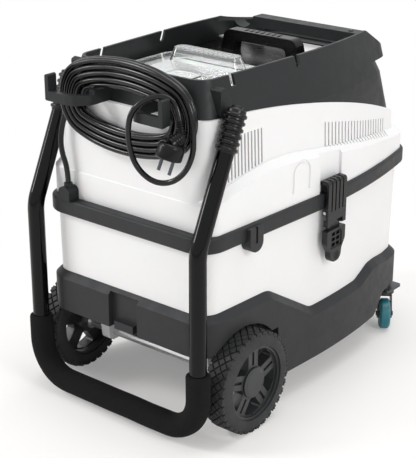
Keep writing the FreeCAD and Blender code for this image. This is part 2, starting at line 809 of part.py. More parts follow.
post = prism([V(x, arm_y, z) for x, z in post_line], [0, 3.4, 3.4, 0], Y_AXIS * (post_rear_y - arm_y))
hook = arm.fuse([root, post]).cut(tray_outer).cut(head_outer)
hook = max(hook.Solids, key=lambda solid: solid.Volume)
save("cord_hooks", hook, mirrored(hook))

# Cord gland on the head's rear wall

gland_x = -109.0
gland_half = 11.0
gland_depth = 20.0
gland_top_z = 336.0
collar_top_z = 341.0
cord_out_y = -75.0
gland = prism([V(gland_x - gland_half, head_rear, band_top_z), V(gland_x - gland_half, head_rear, gland_top_z),
               V(gland_x + gland_half, head_rear, gland_top_z), V(gland_x + gland_half, head_rear, band_top_z)],
              [0, 8, 8, 0], Y_AXIS * -gland_depth)
gland = gland.cut(head_outer).fuse(rod(V(gland_x, cord_out_y, gland_top_z - 2), Z_AXIS, cord_r + 2.5,
                                       collar_top_z - gland_top_z + 2))
gland = gland.cut(rod(V(gland_x, cord_out_y, collar_top_z - 14), Z_AXIS, cord_r - 0.5, 20))
save("cord_gland", gland)

# Mains cord: lead from the gland, coil on the hooks, tail looping to the plug

coil_front_y = coil_back_y - layer_step
climb_rate = 0.07


quarter_turns = 8 * coil_turns + 2


def drawn_in(step):
    # How far the loops have shrunk after this many quarter turns
    return coil_pitch / 4 * min(step, quarter_turns - step)


def loop_node(step):
    # Quarter-turn points of the coil: shrinking, crossing to the front layer, growing again
    angle = math.pi - step * math.pi / 2
    climbing = step == quarter_turns / 2
    y = coil_back_y if step < quarter_turns / 2 else coil_front_y
    if climbing:
        y = (coil_back_y + coil_front_y) / 2
    across = (coil_a - drawn_in(step)) * math.cos(angle)
    up = (coil_b - drawn_in(step)) * math.sin(angle)
    heading = V(math.sin(angle), -climb_rate if climbing else 0, -math.cos(angle))
    return V(coil_x + across, y, coil_z + up), heading.normalize()


def tangent_arc(start, heading, end):
    chord = end - start
    normal = (chord - heading * chord.dot(heading)).normalize()
    radius = chord.dot(chord) / (2 * normal.dot(chord))
    centre = start + normal * radius
    halfway = centre + ((start + end) / 2 - centre).normalize() * radius
    return Part.Arc(start, halfway, end).toShape()


def quarter_turn(step):
    # A tight arc at the oval's end and a wide arc along its top or bottom, tangent to each other
    side, crest = (step, step + 1) if step % 2 == 0 else (step + 1, step)
    sine = math.sin(math.radians(coil_end_turn))
    cosine = math.cos(math.radians(coil_end_turn))
    flat = (1 - sine) / cosine
    tight = (coil_b - drawn_in(crest) - (coil_a - drawn_in(side)) * flat) / (sine - (1 - cosine) * flat)
    near = tight * math.tan(math.radians(coil_end_turn / 2))
    forward = 1 if side < crest else -1
    p1, t1 = loop_node(side)
    p2, t2 = loop_node(crest)
    t1 = t1 * forward
    t2 = t2 * forward
    span = p2 - p1 - t1 * near
    far = (span.dot(span) - near * near) / (2 * (near + span.dot(t2)))
    joint = ((p1 + t1 * near) * far + (p2 - t2 * far) * near) / (near + far)
    return [tangent_arc(p1, t1, joint), tangent_arc(p2, t2 * -1, joint)]


coil_nodes = [loop_node(step) for step in range(quarter_turns + 1)]
lead_in = 2 * cord_r
coil_start = coil_nodes[0][0] - coil_nodes[0][1] * lead_in
coil_end = coil_nodes[-1][0] + coil_nodes[-1][1] * lead_in
coil_edges = [Part.makeLine(coil_start, coil_nodes[0][0])]
for step in range(quarter_turns):
    coil_edges += quarter_turn(step)
coil_edges.append(Part.makeLine(coil_nodes[-1][0], coil_end))
coil_path = Part.Wire(Part.__sortEdges__(coil_edges))
coil = pipe(coil_path, cord_r)


def least_gap(path, radius, spacing=4.0):
    # Smallest distance between stretches of the path that lie more than a few diameters apart along it
    count = int(path.Length / spacing)
    points = path.discretize(count)
    skip = int(8 * radius / spacing) + 1
    best = 1e9
    for i in range(count):
        for j in range(i + skip, count):
            best = min(best, (points[i] - points[j]).Length)
    return best - 2 * radius


print("coil length", round(coil_path.Length), "least gap to itself", round(least_gap(coil_path, cord_r), 2))
print("coil volume over section times length", round(coil.Volume / (math.pi * cord_r ** 2 * coil_path.Length), 4))
save("cord_coil", coil)


def cord_radii(points):
    radii = []
    for before, here, after in zip(points, points[1:], points[2:]):
        back = before - here
        ahead = after - here
        half_turn = (math.pi - back.getAngle(ahead)) / 2
        radii.append(0.45 * min(back.Length, ahead.Length) / math.tan(half_turn))
    return radii


def cord_tube(node, points):
    radii = cord_radii(points)
    path = tangent_path(points, radii)
    tube = pipe(path, cord_r)
    print(node, "radii", [round(r) for r in radii], "length", round(path.Length),
          "volume ratio", round(tube.Volume / (math.pi * cord_r ** 2 * path.Length), 4))
    save(node, tube)


lead_points = [
    V(gland_x, cord_out_y, collar_top_z),
    V(gland_x, cord_out_y, 363),
    V(-118, -78, 390),
    V(-120, -74.5, 418),
    V(coil_start.x, coil_start.y, 443),
    coil_start,
]
cord_tube("cord_lead", lead_points)
tail_points = [
    coil_end,
    V(coil_end.x, coil_end.y, 438),
    V(128, -86, 411),
    V(108, -94, 393),
    V(83, -103, 392),
    V(62, -111, 410),
    V(54, -116, 437),
    V(55, -120, 467),
    V(62, -117, 495),
    V(79, -101, 510),
    V(100, -90.5, 513),
    V(117, -88.7, 502),
    V(122, -90.5, 482),
]
cord_tube("cord_tail", tail_points)

# Plug on the cord's end

relief_len = 20.0
relief_r = 6.5
relief_in_r = cord_r + 0.6
plug_r = 18.5
plug_len = 22.0
relief_start = tail_points[-1]
relief_dir = (tail_points[-1] - tail_points[-2]).normalize()
relief_end = relief_start + relief_dir * relief_len
head_top = V(121, -103.5, 455)
pin_dir = V(-0.15, -0.30, -0.94).normalize()
relief = Part.makeCone(relief_in_r, relief_r, relief_len, relief_start, relief_dir)
neck_dir = head_top - relief_end
neck = Part.makeCone(relief_r + 1.4, relief_r + 4, neck_dir.Length, relief_end, neck_dir)
knuckle = Part.makeSphere(relief_r + 1.4, relief_end)
plug_head = Part.makeCylinder(plug_r, plug_len, head_top, pin_dir)
for i in range(3):
    place = 4 + 5 * i
    rib_r = relief_in_r + (relief_r - relief_in_r) * place / relief_len
    rib = Part.makeTorus(rib_r, 1.1, relief_start + relief_dir * place, relief_dir)
    relief = relief.fuse(rib)
save("plug_body", relief.fuse(knuckle).fuse(neck).fuse(plug_head))
pin_r = 2.4
pin_len = 19.0
pin_spread = 9.5
across = pin_dir.cross(Y_AXIS).normalize()
plug_face = head_top + pin_dir * plug_len
pins = [rod(plug_face + across * side * pin_spread, pin_dir, pin_r, pin_len) for side in (-1, 1)]
save("plug_pins", *pins)

# Push handle: bent tube on two pivot studs, foam grip, ribbed end sleeves

lean_dir = V(0, math.sin(lean), math.cos(lean))
lean_start = V(leg_x, leg_y, lean_z)
sleeve_start = 140.0
tube_end = sleeve_start + sleeve_len - 7
top_end = lean_start + lean_dir * tube_end


def left_of(point):
    return V(-point.x, point.y, point.z)


bar_points = [V(leg_x, leg_y, bar_z), V(-leg_x, leg_y, bar_z)]
tube_points = [top_end, lean_start] + bar_points + [left_of(lean_start), left_of(top_end)]
tube_path = tangent_path(tube_points, [lean_bend, bar_corner, bar_corner, lean_bend])
cross_bore = rod(V(-leg_x - 40, pivot_y, pivot_z), X_AXIS, stud_r + axle_gap, 2 * leg_x + 80)
tube = pipe(tube_path, tube_r).cut(pipe(tube_path, tube_r - tube_t)).cut(cross_bore)
save("push_handle_tube", tube)
grip_points = [V(leg_x, leg_y, grip_top_z)] + bar_points + [V(-leg_x, leg_y, grip_top_z)]
grip_path = tangent_path(grip_points, [bar_corner, bar_corner])
save("push_handle_grip", pipe(grip_path, grip_r).cut(pipe(grip_path, tube_r)))

rib_step = (sleeve_len - 10) / sleeve_ribs
sleeve = rod(V(0, 0, 0), Z_AXIS, sleeve_r, sleeve_len - 4)
for i in range(sleeve_ribs):
    sleeve = sleeve.fuse(rod(V(0, 0, i * rib_step + 1), Z_AXIS, sleeve_rib_r, rib_step * 0.5))
dome = Part.makeCone(sleeve_r, sleeve_r - 5, 4, V(0, 0, sleeve_len - 4), Z_AXIS)
sleeve = sleeve.fuse(dome).cut(rod(V(0, 0, -1), Z_AXIS, tube_r, tube_end - sleeve_start + 1))
sleeve.rotate(V(0, 0, 0), X_AXIS, -lean_deg)
sleeve.translate(lean_start + lean_dir * sleeve_start)
sleeve = sleeve.cut(rod(V(0, pivot_y, pivot_z), X_AXIS, stud_r + axle_gap, leg_x + tube_r - 0.5))
save("tube_sleeves", sleeve, mirrored(sleeve))

stud_end_x = leg_x + tube_r - 0.8
stud = rod(V(stud_start_x, pivot_y, pivot_z), X_AXIS, stud_r, stud_end_x - stud_start_x)
save("pivot_studs", stud, mirrored(stud))

# Rear axle, its brackets and clips

axle_end_x = 178.0
collar_x = 143.0
hub_inner_x = 149.5
hub_outer_x = 181.0
clip_x = 176.3
axle = rod(V(-axle_end_x, 0, axle_z), X_AXIS, axle_r, 2 * axle_end_x)
axle = axle.fuse([ring(V(x, 0, axle_z), X_AXIS, axle_r + 4, axle_r - 1, hub_inner_x - seat_gap - collar_x)
                  for x in (collar_x, -hub_inner_x + seat_gap)])
save("rear_axle", axle)
bracket = side_prism([(-20, rear_deck_z - base_wall), (-14, axle_z - 14), (14, axle_z - 14),
                       (20, rear_deck_z - base_wall)],
                     [0, 10, 10, 0], bracket_x, bracket_x + bracket_w)
bracket = bracket.cut(rod(V(0, 0, axle_z), X_AXIS, axle_r, 200))
save("axle_brackets", bracket, mirrored(bracket))
clip = ring(V(clip_x, 0, axle_z), X_AXIS, axle_r + 3.5, axle_r, 1.5)
save("axle_clips", clip, mirrored(clip))

# Rear wheels

tyre_out = wheel_inner_x + tyre_w
shoulder = 5.0
tyre = revolve_x([(wheel_inner_x, rim_r), (tyre_out, rim_r), (tyre_out, wheel_r - shoulder),
                  (tyre_out - 3.5, wheel_r), (wheel_inner_x + 3.5, wheel_r), (wheel_inner_x, wheel_r - shoulder)],
                 [0, 0, 4, 3, 3, 4])
tyre.translate(V(0, 0, axle_z))
spoke_in_x = 163.0
spoke_out_x = 180.0
rim = ring(V(wheel_inner_x + 2, 0, 0), X_AXIS, rim_r, rim_r - barrel_t, tyre_w - 5)
rim = rim.fuse(rod(V(spoke_in_x, 0, 0), X_AXIS, rim_r - 1, spoke_out_x - spoke_in_x))
rim = rim.fuse(rod(V(hub_inner_x, 0, 0), X_AXIS, hub_r, hub_outer_x - hub_inner_x))
sector = 360.0 / spoke_count
window_in_r = 25.0
window_out_r = 52.0
spoke_half = 11.0


def polar(radius, degrees, x=0.0):
    return V(x, radius * math.cos(math.radians(degrees)), radius * math.sin(math.radians(degrees)))


for i in range(spoke_count):
    middle = 90 + sector * (i + 0.5)
    inner_half = sector / 2 - math.degrees(math.asin(spoke_half / window_in_r))
    outer_half = sector / 2 - math.degrees(math.asin(spoke_half / window_out_r))
    corners = [polar(window_in_r, middle - inner_half), polar(window_out_r, middle - outer_half),
               polar(window_out_r * 1.02, middle), polar(window_out_r, middle + outer_half),
               polar(window_in_r, middle + inner_half)]
    window = prism([point + V(spoke_in_x - 1, 0, 0) for point in corners], [2, 4, 0, 4, 2], X_AXIS * 20)
    groove = box(spoke_out_x - 4, spoke_out_x + 1, -2.2, 2.2, window_in_r + 2, window_out_r - 3)
    groove.rotate(V(0, 0, 0), X_AXIS, sector * i)
    rim = rim.cut(window).cut(groove)
rim = rim.cut(rod(V(hub_inner_x - 1, 0, 0), X_AXIS, axle_r + axle_gap, 60))
rim = rim.cut(rod(V(clip_x - 0.4, 0, 0), X_AXIS, axle_r + 5, 20))
rim.translate(V(0, 0, axle_z))
hub_cap = revolve_x([(hub_outer_x, 0), (hub_outer_x + 3.5, 0), (hub_outer_x + 3.5, cap_r - 6),
                     (hub_outer_x + 2, cap_r),
                     (hub_outer_x, cap_r)], [0, 0, 2, 0.8, 0])
hub_cap.translate(V(0, 0, axle_z))
for side, place in (("right", lambda shape: shape), ("left", mirrored)):
    save(side + "_tyre", place(tyre))
    save(side + "_rim", place(rim))
    save(side + "_hub_cap", place(hub_cap))

# Casters

wheel_half = caster_w / 2
leg_in = wheel_half + fork_gap
leg_out = leg_in + fork_t
crown_z = 54.5
race_r = 17.0
fork_profile = [(14, crown_z + 2.5), (-16, crown_z + 2.5), (-caster_trail - 8, caster_r + 6),
                (-caster_trail - 8, caster_r - 8),
                (-caster_trail + 8, caster_r - 8), (-caster_trail + 10, caster_r + 8)]
fork_leg = side_prism(fork_profile, [3, 3, 6, 7, 7, 8], leg_in, leg_out)
crown = box(-leg_out, leg_out, -15, 13, crown_z, crown_z + 2.5)
race = rod(V(0, 0, crown_z + 2.5), Z_AXIS, race_r, caster_plate_z - seat_gap - crown_z - 2.5)
stem = rod(V(0, 0, crown_z + 2.5), Z_AXIS, stem_r, caster_plate_z + caster_plate_t - 0.5 - crown_z - 2.5)
wheel_pin = rod(V(-leg_out - 2, -caster_trail, caster_r), X_AXIS, caster_axle_r, 2 * leg_out + 4)
fork = fork_leg.fuse([mirrored(fork_leg), crown, race, stem, wheel_pin])
caster_wheel = revolve_x([(-wheel_half, caster_axle_r + axle_gap), (wheel_half, caster_axle_r + axle_gap),
                          (wheel_half, caster_r - 4), (wheel_half - 3, caster_r), (-wheel_half + 3, caster_r),
                          (-wheel_half, caster_r - 4)], [0, 0, 3, 3, 3, 3])
caster_wheel.translate(V(0, -caster_trail, caster_r))


def placed(shape, side, turn):
    moved = shape.copy()
    moved.rotate(V(0, 0, 0), Z_AXIS, turn)
    moved.translate(V(side * swivel_x, swivel_y, 0))
    return moved


for side, name, turn in ((1, "right", caster_rest_turn), (-1, "left", 0)):
    save(name + "_caster_fork", placed(fork, side, turn))
    save(name + "_caster_wheel", placed(caster_wheel, side, turn))

plate_half = caster_plate_size / 2
screw_in = plate_half - 5.5
plate = rounded_box(-plate_half, plate_half, -plate_half, plate_half, caster_plate_z,
                    caster_plate_z + caster_plate_t, 5)
plate = plate.cut(rod(V(0, 0, caster_plate_z - 1), Z_AXIS, stem_r + axle_gap, 10))
save("caster_plates", placed(plate, 1, 0), placed(plate, -1, 0))
plate_screws = [rod(V(side * swivel_x + sx * screw_in, swivel_y + sy * screw_in, caster_plate_z - 2), Z_AXIS, 3, 2)
                for side in (-1, 1) for sx in (-1, 1) for sy in (-1, 1)]
rail_screw_x = 100.0
rail_screws = [rod(V(side * rail_screw_x, (rail_back_y + rail_front_y) / 2, rim_z), Z_AXIS, 4, 1.5) for side in (1,)]
save("housing_screws", *(plate_screws + rail_screws))

# Latches: base and keeper fixed, lever pivots on the base, hook pivots on the lever

latch_half = latch_w / 2
base_face = flank_x + 2.7
pin_x = flank_x - 0.5
lug_reach = 4.2
pin_r = 2.5
hook_x = pin_x + 1.5
stub_r = 2.0
lever_back_x = pin_x - 0.5
hook_back_x = pin_x + 5.4
face_x = hook_back_x + 4.1
lip_x = pin_x - 6.5
lip_h = 6.0
lug_out = 19.0
lug_in = 15.5
arm_half = 15.0
latch_low_z = latch_hook_z - 3
lever_top_z = latch_hook_z - 9
band_block = offset_prism(tank_top_z - 0.01, band_top_z + 0.01, 0)
latch_base = box(158, base_face, latch_y - 20, latch_y + 20, tank_top_z, band_top_z - 1)


def lug_plate(y0, y1, x_back, x_pin, z_pin, z_top, reach):
    # A lug with a round end about its pin
    outline = [V(x_back, y0, z_pin - reach), V(x_pin + reach, y0, z_pin - reach), V(x_pin + reach, y0, z_top),
               V(x_back, y0, z_top)]
    return prism(outline, [1, reach * 0.95, 2, 0], Y_AXIS * (y1 - y0))


latch_base = latch_base.fuse([lug_plate(latch_y + a, latch_y + b, pin_x - lug_reach, pin_x, latch_pivot_z,
                                         tank_top_z + 4, lug_reach)
                              for a, b in ((lug_in, lug_out), (-lug_out, -lug_in))])
latch_bore = rod(V(pin_x, latch_y - 40, latch_pivot_z), Y_AXIS, pin_r, 80)
latch_base = latch_base.cut(latch_bore).cut(band_block)
latch_pin = rod(V(pin_x, latch_y - 20, latch_pivot_z), Y_AXIS, pin_r, 40)

# Lever: arms about the pin, a bowed window frame and a thumb tongue

hub = rod(V(pin_x, latch_y - arm_half, latch_pivot_z), Y_AXIS, 4.5, 2 * arm_half)
lever_arms = box(lever_back_x, lever_back_x + 5, latch_y - arm_half, latch_y + arm_half, lever_top_z - 3,
                 latch_pivot_z)
lever_line = [(latch_half, lever_top_z), (latch_half, 236), (15, 221), (13, latch_tip_z)]
lever_line = [(-y, z) for y, z in reversed(lever_line)] + lever_line
lever_plate = prism([V(lever_back_x, latch_y + y, z) for y, z in lever_line], [12, 8, 10, 1.5, 1.5, 10, 8, 12],
                    X_AXIS * (face_x - lever_back_x))
stub = rod(V(hook_x, latch_y - lug_out, latch_hook_z), Y_AXIS, stub_r, 2 * lug_out)
lever = lever_plate.fuse([lever_arms, hub, stub])
lever = lever.cut(rod(V(pin_x, latch_y - 40, latch_pivot_z), Y_AXIS, pin_r + axle_gap, 80))
frame_line = [V(face_x - 1.4, latch_y + y, z) for y, z in ((-15, 226), (-15, 255.5), (15, 255.5), (15, 226))]
lever = lever.cut(prism(frame_line, [2, 11, 11, 2], X_AXIS * 3))
window_w = 9.0
window_h = 6.0
window_bar = 2.5
for row in range(3):
    for y in (-window_w - window_bar / 2, window_bar / 2):
        z = 228.5 + row * (window_h + window_bar)
        lever = lever.cut(box(face_x - 5, face_x + 1, latch_y + y, latch_y + y + window_w, z, z + window_h))
dish = Part.makeSphere(14, V(face_x + 11, latch_y, 213))
lever = lever.cut(dish)

# Hook: ribbed plate whose lip holds the keeper's top

hook_top_edge = latch_top_z + 3
hook_line = [(hook_back_x, latch_low_z), (face_x, latch_low_z), (face_x, hook_top_edge), (lip_x, hook_top_edge),
             (lip_x, hook_top_edge - lip_h), (hook_back_x, hook_top_edge - lip_h)]
hook_plate = prism([V(x, latch_y - latch_half, z) for x, z in hook_line], [0, 1, 5.5, 2, 0, 1], Y_AXIS * latch_w)
hook_lugs = [box(pin_x - 2, hook_back_x + 1, latch_y + a, latch_y + b, latch_hook_z - 3.5, latch_hook_z + 5)
             for a, b in ((lug_in - 0.1, lug_out), (-lug_out, 0.1 - lug_in))]
arm_window = box(hook_back_x - 1, face_x + 1, latch_y - arm_half - 0.6, latch_y + arm_half + 0.6, latch_low_z - 1,
                 latch_hook_z + 6)
latch_hook = hook_plate.fuse(hook_lugs).cut(arm_window)
rib_grooves = 4
rib_pitch = 9.6
rib_groove_w = 3.2
rib_groove_d = 1.8
for i in range(rib_grooves):
    y = latch_y + (i - (rib_grooves - 1) / 2) * rib_pitch - rib_groove_w / 2
    face_groove = box(face_x - rib_groove_d, face_x + 1, y, y + rib_groove_w, latch_hook_z + 21, hook_top_edge + 1)
    top_groove = box(lip_x + 3, face_x + 1, y, y + rib_groove_w, hook_top_edge - rib_groove_d, hook_top_edge + 1)
    latch_hook = latch_hook.cut(face_groove).cut(top_groove)
latch_hook = latch_hook.cut(rod(V(hook_x, latch_y - 40, latch_hook_z), Y_AXIS, stub_r + axle_gap, 80))
keeper = box(150, pin_x - 1, latch_y - 17, latch_y + 17, band_top_z + 1, hook_top_edge - lip_h - 1).cut(head_outer)
save("latch_bases", latch_base, mirrored(latch_base))
save("latch_pins", latch_pin, mirrored(latch_pin))
save("latch_keepers", keeper, mirrored(keeper))
for side, place in (("right", lambda shape: shape), ("left", mirrored)):
    save(side + "_latch_lever", place(lever))
    save(side + "_latch_hook", place(latch_hook))

# Band clips: tube rests on the rim's flanks

clip_y = 17.0
clip_half = 15.0
clip_low_z = 275.0
clip_top_z = 312.0
clip_slot = 2.2
band_clip = prism([V(150, clip_y - clip_half, clip_low_z), V(150, clip_y + clip_half, clip_low_z),
                   V(150, clip_y + clip_half, clip_top_z), V(150, clip_y - clip_half, clip_top_z)], [14, 14, 2, 2],
                  X_AXIS * 21)
tank_clear_low = (tank_low[0], tank_low[1] - 1) + tank_low[2:]
tank_clear_high = (tank_high[0] + 1, tank_high[1] - 1) + tank_high[2:]
tank_clear = casing_loft(tank_clear_low, tank_clear_high, 0)
band_clip = band_clip.cut(band_block).cut(tank_clear)
band_clip = band_clip.cut(box(167, 180, clip_y - clip_slot, clip_y + clip_slot, clip_low_z + 13, clip_top_z + 1))
save("band_clips", band_clip, mirrored(band_clip))

# Vacuum motor, its rubber mount and its fan

mount_ring = ring(V(0, motor_y, band_top_z), Z_AXIS, 44, 32, motor_low_z - band_top_z)
save("motor_mount", mount_ring)
can_h = 44.0
fan_case_h = motor_h - can_h
motor_top_z = motor_low_z + motor_h
motor = rod(V(0, motor_y, motor_low_z), Z_AXIS, 42, can_h)
motor = motor.fuse(rod(V(0, motor_y, motor_low_z + can_h), Z_AXIS, motor_r, fan_case_h))
fan_room = rod(V(0, motor_y, motor_low_z + can_h + 3), Z_AXIS, motor_r - 3, fan_case_h - 6)
eye = rod(V(0, motor_y, motor_top_z - 4), Z_AXIS, duct_r - duct_t, 6)
shaft_bore = rod(V(0, motor_y, motor_low_z + 12), Z_AXIS, 4 + axle_gap, can_h)
outlet = box(20, motor_r + 1, motor_y - 8, motor_y + 8, motor_low_z + can_h + 6, motor_top_z - 6)
motor = motor.cut(fan_room).cut(eye).cut(shaft_bore).cut(outlet)
save("vacuum_motor", motor)
fan_z = motor_low_z + can_h + 4
fan = rod(V(0, motor_y, fan_z), Z_AXIS, motor_r - 6, 2)
fan = fan.fuse(rod(V(0, motor_y, motor_low_z + 13), Z_AXIS, 4, can_h + 8))
for i in range(8):
    blade = box(8, motor_r - 7, -1, 1, 0, 14)
    blade.rotate(V(0, 0, 0), Z_AXIS, i * 45)
    blade.translate(V(0, motor_y, fan_z + 1))
    fan = fan.fuse(blade)
save("motor_fan", fan)

# Air path: float cage at the duct mouth, duct to the motor eye, inlet from the hose port

duct_mouth_z = 425.0
duct_points = [V(0, duct_y, duct_mouth_z), V(0, duct_y, duct_z), V(0, motor_y, duct_z), V(0, motor_y, motor_top_z)]
duct_path = tangent_path(duct_points, [24, 30])
duct = pipe(duct_path, duct_r).cut(pipe(duct_path, duct_r - duct_t))
save("bucket_duct", duct.common(box(-50, 50, 0, parting_y, 300, 500)))
save("suction_duct", duct.common(box(-50, 50, parting_y + seat_gap, 400, 300, 500)))
cage_h = 52.0
cage_low_z = duct_mouth_z - cage_h
cage = ring(V(0, duct_y, duct_mouth_z - 3), Z_AXIS, duct_r + 3, float_r - 4, 3)
cage = cage.fuse(ring(V(0, duct_y, cage_low_z), Z_AXIS, duct_r + 3, 6, 3))
for i in range(4):
    post_bar = box(float_r + 1.5, duct_r + 3, -3, 3, 0, cage_h)
    post_bar.rotate(V(0, 0, 0), Z_AXIS, 45 + i * 90)
    post_bar.translate(V(0, duct_y, cage_low_z))
    cage = cage.fuse(post_bar.common(rod(V(0, duct_y, cage_low_z), Z_AXIS, duct_r + 3, cage_h)))
save("float_cage", cage)
save("float_ball", Part.makeSphere(float_r, V(0, duct_y, cage_low_z + 3 + math.sqrt(float_r ** 2 - 36) + 0.05)))
inlet_start = parting_y + seat_gap
inlet = ring(V(port_x, inlet_start, port_z), Y_AXIS, inlet_r, inlet_bore_r, port_back - inlet_start)
save("inlet_duct", inlet)
hose_port = ring(V(port_x, port_back, port_z), Y_AXIS, port_r, port_bore_r, port_front - port_back)
hose_port = hose_port.fuse(ring(V(port_x, port_front - 8, port_z), Y_AXIS, port_r + 3, port_bore_r, 8))
save("hose_port", hose_port)

# Solution pump and coupler

pump = rounded_box(34, 104, 388, 432, band_top_z, band_top_z + 42, 6)
pump = pump.fuse(rod(V(104, 410, band_top_z + 20), X_AXIS * -1, 16, 96))
save("solution_pump", pump)
spigot_y = coupler_nut_y + coupler_nut_w
coupler = rod(V(coupler_x, port_back, coupler_z), Y_AXIS, coupler_r, spigot_y - port_back)
coupler = coupler.fuse(rod(V(coupler_x, port_back, coupler_z), Y_AXIS, coupler_collar_r, 10))
coupler = coupler.fuse(rod(V(coupler_x, coupler_nut_y, coupler_z), Y_AXIS, coupler_collar_r, coupler_nut_w))
coupler = coupler.fuse(rod(V(coupler_x, spigot_y, coupler_z), Y_AXIS, spigot_r, spigot_len))
coupler = coupler.cut(rod(V(coupler_x, port_back - 1, coupler_z), Y_AXIS, coupler_bore_r, 60))
save("solution_coupler", coupler)

# Switch panel with its rocker

rocker_half = 11.0
rocker_h = 15.0
rocker_pin_y = panel_face - 3
panel = panel_solid.cut(box(-rocker_half - 0.6, rocker_half + 0.6, panel_back + 4, panel_face + 1,
                            panel_z - rocker_h / 2 - 1.2, panel_z + rocker_h / 2 + 1.2))
pin_bore = rod(V(-rocker_half - 4, rocker_pin_y, panel_z), X_AXIS, 1.5 + axle_gap, 2 * rocker_half + 8)
panel = panel.cut(pin_bore)
save("switch_panel", panel)
rocker = box(-rocker_half, rocker_half, rocker_pin_y - 4, panel_face + 2, panel_z - rocker_h / 2,
             panel_z + rocker_h / 2)
scoop = rod(V(-20, panel_face + 24, panel_z), X_AXIS, 23, 40)
rocker = rocker.cut(scoop).fuse(rod(V(-rocker_half - 3, rocker_pin_y, panel_z), X_AXIS, 1.5, 2 * rocker_half + 6))
save("switch_rocker", rocker)
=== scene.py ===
# %% [markdown]
# A spot extractor is a small carpet cleaner on wheels: a white tank holds clean water, a motor head sits on
# it, and a clear-lidded bucket in the top catches the dirty water. Its rigid pieces come ready made, as a
# frame in metres. This lesson gives each of them its real finish, and models what a rigid solid can't show:
# the cord, the foam grip, the rubber sleeves, the lid's ribs, the tyre treads and the plug.

# %% Load the frame and note its box
import math

import bmesh
import bpy
from mathutils import Matrix, Vector


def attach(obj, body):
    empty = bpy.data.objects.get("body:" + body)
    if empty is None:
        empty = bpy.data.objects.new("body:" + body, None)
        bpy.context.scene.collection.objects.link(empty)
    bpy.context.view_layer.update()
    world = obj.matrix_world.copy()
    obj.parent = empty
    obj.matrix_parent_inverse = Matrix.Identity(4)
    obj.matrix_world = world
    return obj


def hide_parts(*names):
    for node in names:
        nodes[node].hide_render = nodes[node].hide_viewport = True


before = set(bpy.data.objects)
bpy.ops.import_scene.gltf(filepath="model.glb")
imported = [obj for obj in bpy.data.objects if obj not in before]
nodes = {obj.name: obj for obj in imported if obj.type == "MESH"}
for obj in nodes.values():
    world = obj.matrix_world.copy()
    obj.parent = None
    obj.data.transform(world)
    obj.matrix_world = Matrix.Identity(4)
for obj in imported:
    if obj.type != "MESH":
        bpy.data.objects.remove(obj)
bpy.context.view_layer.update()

scene = bpy.context.scene
X, Y, Z = Vector((1, 0, 0)), Vector((0, 1, 0)), Vector((0, 0, 1))
MM = 0.001
AXLE_Y = -0.181

# %% [markdown]
# A photograph is matched from where it was taken. The camera stands behind the machine's right rear corner,
# a little above it. The focal length is in pixels of the picture, so it is turned into millimetres
# of lens for a 36 mm sensor along the picture's long side.

# %% Camera at the photograph's place
PICTURE_HEIGHT = 458
FOCAL_PIXELS = 1289.08
AZIMUTH = math.radians(39.51)
ELEVATION = math.radians(21.52)
camera_data = bpy.data.cameras.new("camera")
camera_data.sensor_width = 36
camera_data.lens = FOCAL_PIXELS * camera_data.sensor_width / PICTURE_HEIGHT
camera = bpy.data.objects.new("camera", camera_data)
camera.location = (1.18663, -1.50435, 0.97227)
towards_camera = Vector((math.sin(AZIMUTH) * math.cos(ELEVATION), -math.cos(AZIMUTH) * math.cos(ELEVATION),
                         math.sin(ELEVATION)))
camera.rotation_mode = "QUATERNION"
camera.rotation_quaternion = (-towards_camera).to_track_quat("-Z", "Y")
scene.collection.objects.link(camera)
scene.camera = camera
print("lens", round(camera_data.lens, 1), "mm")

# %% [markdown]
# Every mesh and material below is built in code, so three small helpers come first. One puts mesh data in the
# scene, one turns a written colour into the linear values that light is worked out in, and one adds a shader
# or geometry node together with its settings and links.


# %% Helpers
def add_object(name, mesh, material=None):
    thing = bpy.data.objects.new(name, mesh)
    scene.collection.objects.link(thing)
    if material:
        mesh.materials.clear()
        mesh.materials.append(material)
    return thing


def linear(hex_colour):
    channels = [int(hex_colour[i:i + 2], 16) / 255 for i in (1, 3, 5)]
    return [c / 12.92 if c <= 0.04045 else ((c + 0.055) / 1.055) ** 2.4 for c in channels] + [1.0]


def add_node(tree, kind, values=None, links=None, **settings):
    node = tree.nodes.new(kind)
    for name, value in settings.items():
        setattr(node, name, value)
    for key, value in (values or {}).items():
        node.inputs[key].default_value = value
    for key, source in (links or {}).items():
        tree.links.new(source, node.inputs[key])
    return node


def new_material(name, colour, roughness, **surface):
    # A Principled shader with its plain values set on its own sockets
    material = bpy.data.materials.new(name)
    material.use_nodes = True
    shader = material.node_tree.nodes["Principled BSDF"]
    shader.inputs["Base Color"].default_value = linear(colour)
    shader.inputs["Roughness"].default_value = roughness
    for key, value in surface.items():
        shader.inputs[key.replace("_", " ")].default_value = value
    return material, material.node_tree, shader


# %% [markdown]
# Moulded plastic is never one flat colour. Its tool leaves a fine eroded grain, its tone drifts a little over
# large faces, handling scuffs it, and its edges are rounded. One helper adds all four to a material: a fine
# bump of a real grain size, a slow change of tone, a patchy roughness, and a rounded-edge normal, which
# catches light as a moulded edge does.


